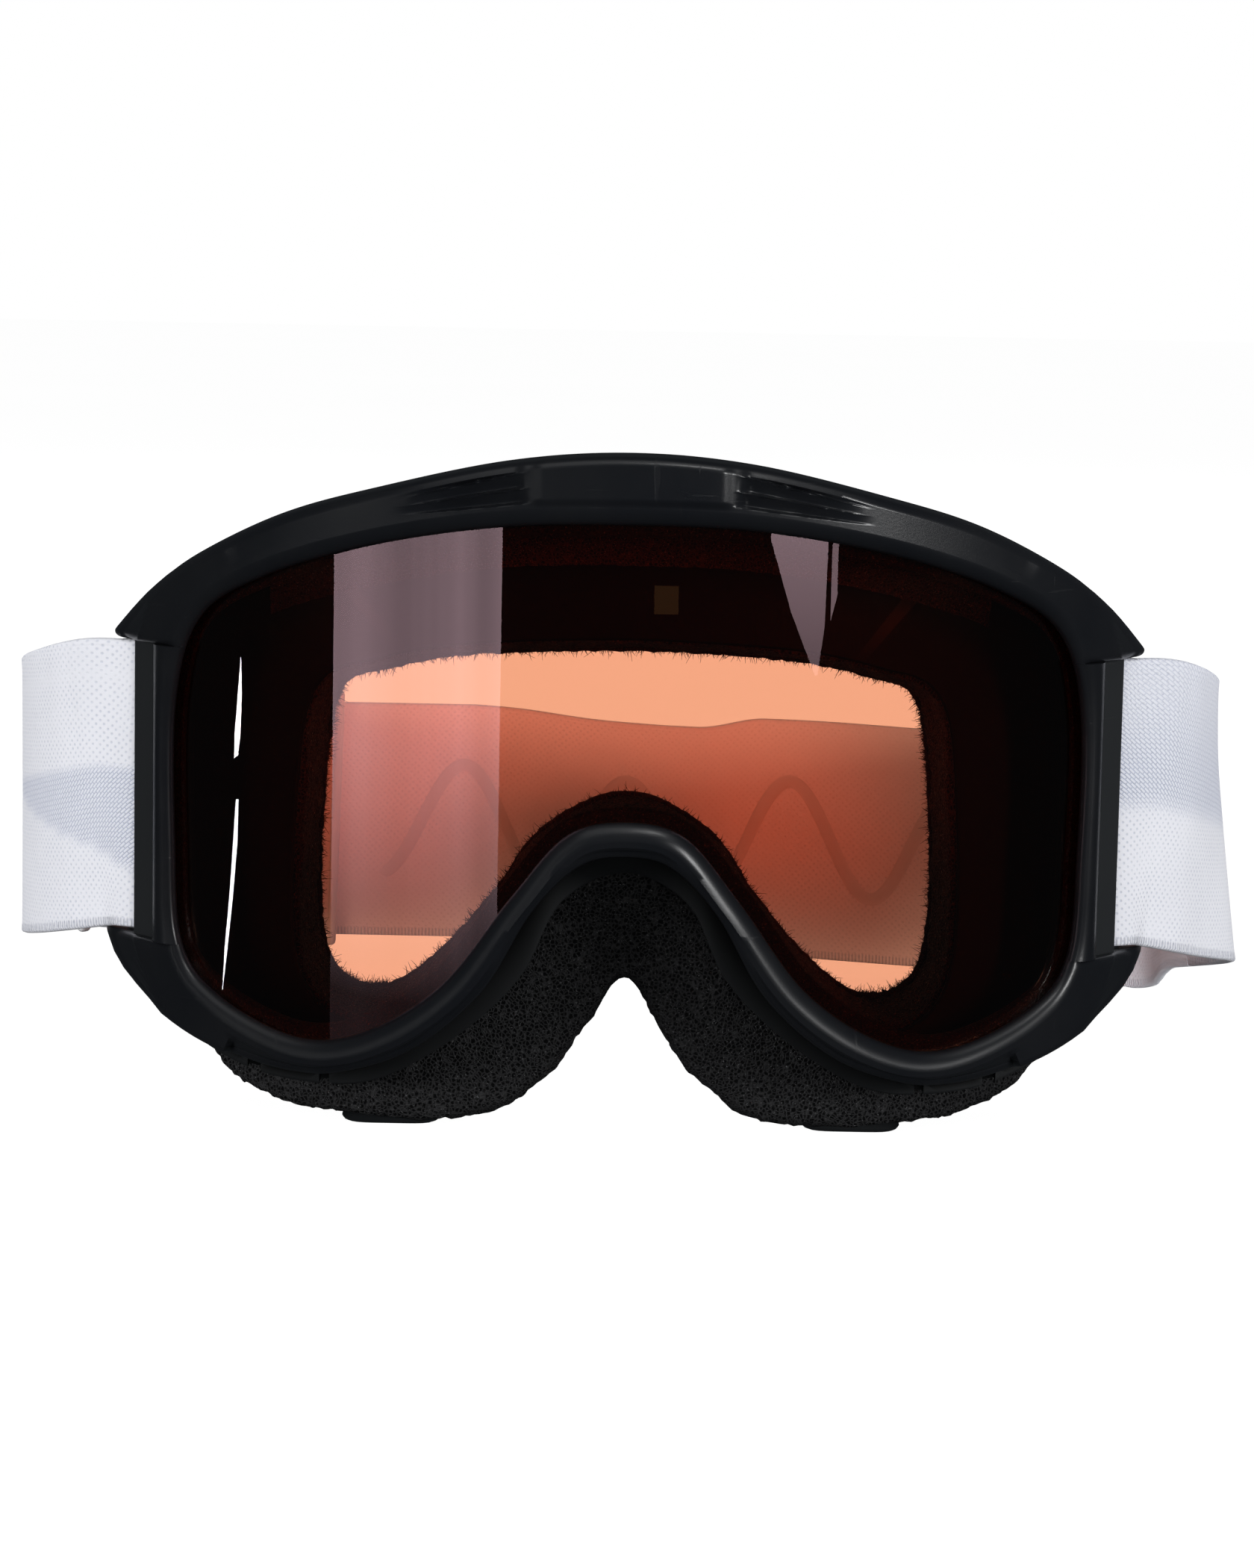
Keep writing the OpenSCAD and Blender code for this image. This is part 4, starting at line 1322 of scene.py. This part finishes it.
def build_lamps():
    lamp("top soft", (0, -0.35, 1.05), (1.3, 0.9), 2.4, glossy=True)
    lamp("front", (0.22, -1.6, 0.2), (0.6, 0.3), 4.2)
    lamp("side left", (-0.95, -0.75, 0.2), (0.5, 0.3), 8.6)
    lamp("side right", (0.95, -0.75, 0.2), (0.5, 0.3), 8.0)
    lamp("sheen left", (-0.78, -0.82, 0.42), (0.12, 0.3), 1.8, glossy=True)
    lamp("sheen right", (0.78, -0.82, 0.42), (0.1, 0.3), 5.5, glossy=True)
    lamp("brow sheen", (0.25, -0.45, 1.0), (0.3, 0.12), 1.2, glossy=True)
    lamp("top band", (0, -0.35, 1.05), (1.3, 0.9), 0.4)
    lamp("rear left", (-0.8, 1.2, 0.7), (0.7, 0.5), 5.5)
    lamp("rear right", (0.8, 1.2, 0.7), (0.7, 0.5), 5.5)
    lamp("through the lens", (0.1, -1.5, 0.12), (0.5, 0.3), 15.0)


def build_cards():
    rose = (1.0, 0.685, 0.777)
    card("left panel", [(-57, -0.27), (-24, -0.27), (-24, 0.8), (-57, 0.8)], 5.4,
         fade=(-0.15, -0.055, 0.06), colour=rose, streaks=True)
    card("right wedge", [(25.9, 0.025), (30.1, -0.003), (34.9, -0.027), (35.4, -0.027), (36.6, -0.008),
                         (36.9, 0.02), (36.9, 0.7), (25.9, 0.7)], 5.6, fade=(-0.03, 0.03, 0.45), colour=rose)
    card("right strip", [(37.7, -0.006), (38.9, 0.004), (39.2, 0.7), (37.5, 0.7)], 4.0, colour=rose)
    card("amber patch", [(4.4, 0.006), (8.9, 0.006), (8.9, -0.005), (4.4, -0.005)], 0.45,
         colour=(1, 0.5, 0.22))
    card("left sliver high", [(-77.3, -0.021), (-77.1, -0.037), (-77.4, -0.053), (-77.9, -0.06),
                              (-78.8, -0.061), (-78.7, -0.052), (-77.9, -0.034)], 50.0)
    card("left sliver low", [(-78.3, -0.077), (-77.7, -0.077), (-77.9, -0.094), (-78.9, -0.115),
                             (-80.1, -0.135), (-81.3, -0.152), (-80.8, -0.135), (-79.6, -0.112)], 34.0)


def build_floor():
    mesh = bpy.data.meshes.new("floor")
    mesh.from_pydata([(-4, -3, 0), (4, -3, 0), (4, 5, 0), (-4, 5, 0)], [], [(0, 1, 2, 3)])
    floor = bpy.data.objects.new("floor", mesh)
    bpy.context.scene.collection.objects.link(floor)
    mesh.materials.append(floor_material())
    floor.visible_glossy = False


build_camera()
build_world()
build_lamps()
build_cards()
build_floor()
build_rim()
build_body()
plate("outer_lens", LENS_R, OUTER_T, copper)
plate("inner_lens", INNER_R, INNER_T, clear)
build_spacer()
build_foam()
build_fleece()
build_fuzz()
build_vent_foam("top_vent_foam", -57, 57, True)
build_vent_foam("bottom_vent_foam_left", -62, -38, False)
build_vent_foam("bottom_vent_foam_right", 38, 62, False)
for hand, word in ((-1, "left"), (1, "right")):
    build_strip(word)
    build_side(hand, word)
build_rear()
build_grip()
build_ring()
build_slider()
build_stitches("root_stitch_left", lambda dz: (-84.1, 44.9, STRAP_Z + dz), "goggle_frame")
build_stitches("root_stitch_right", lambda dz: (84.1, 44.9, STRAP_Z + dz), "goggle_frame")
build_stitches("ring_stitch", lambda dz: hang(LOOP_LEFT - STRAP_T * 1.5 - 0.25, RING_FRONT_Y - 5, dz),
               "strap_rear")
build_stitches("tail_stitch", lambda dz: hang(-SLIDER_X - 6.5, TAIL_Y - WRAP_R - 0.95, dz), "slider")
paint_rods()

share_light()
bpy.context.scene.view_settings.view_transform = "Standard"
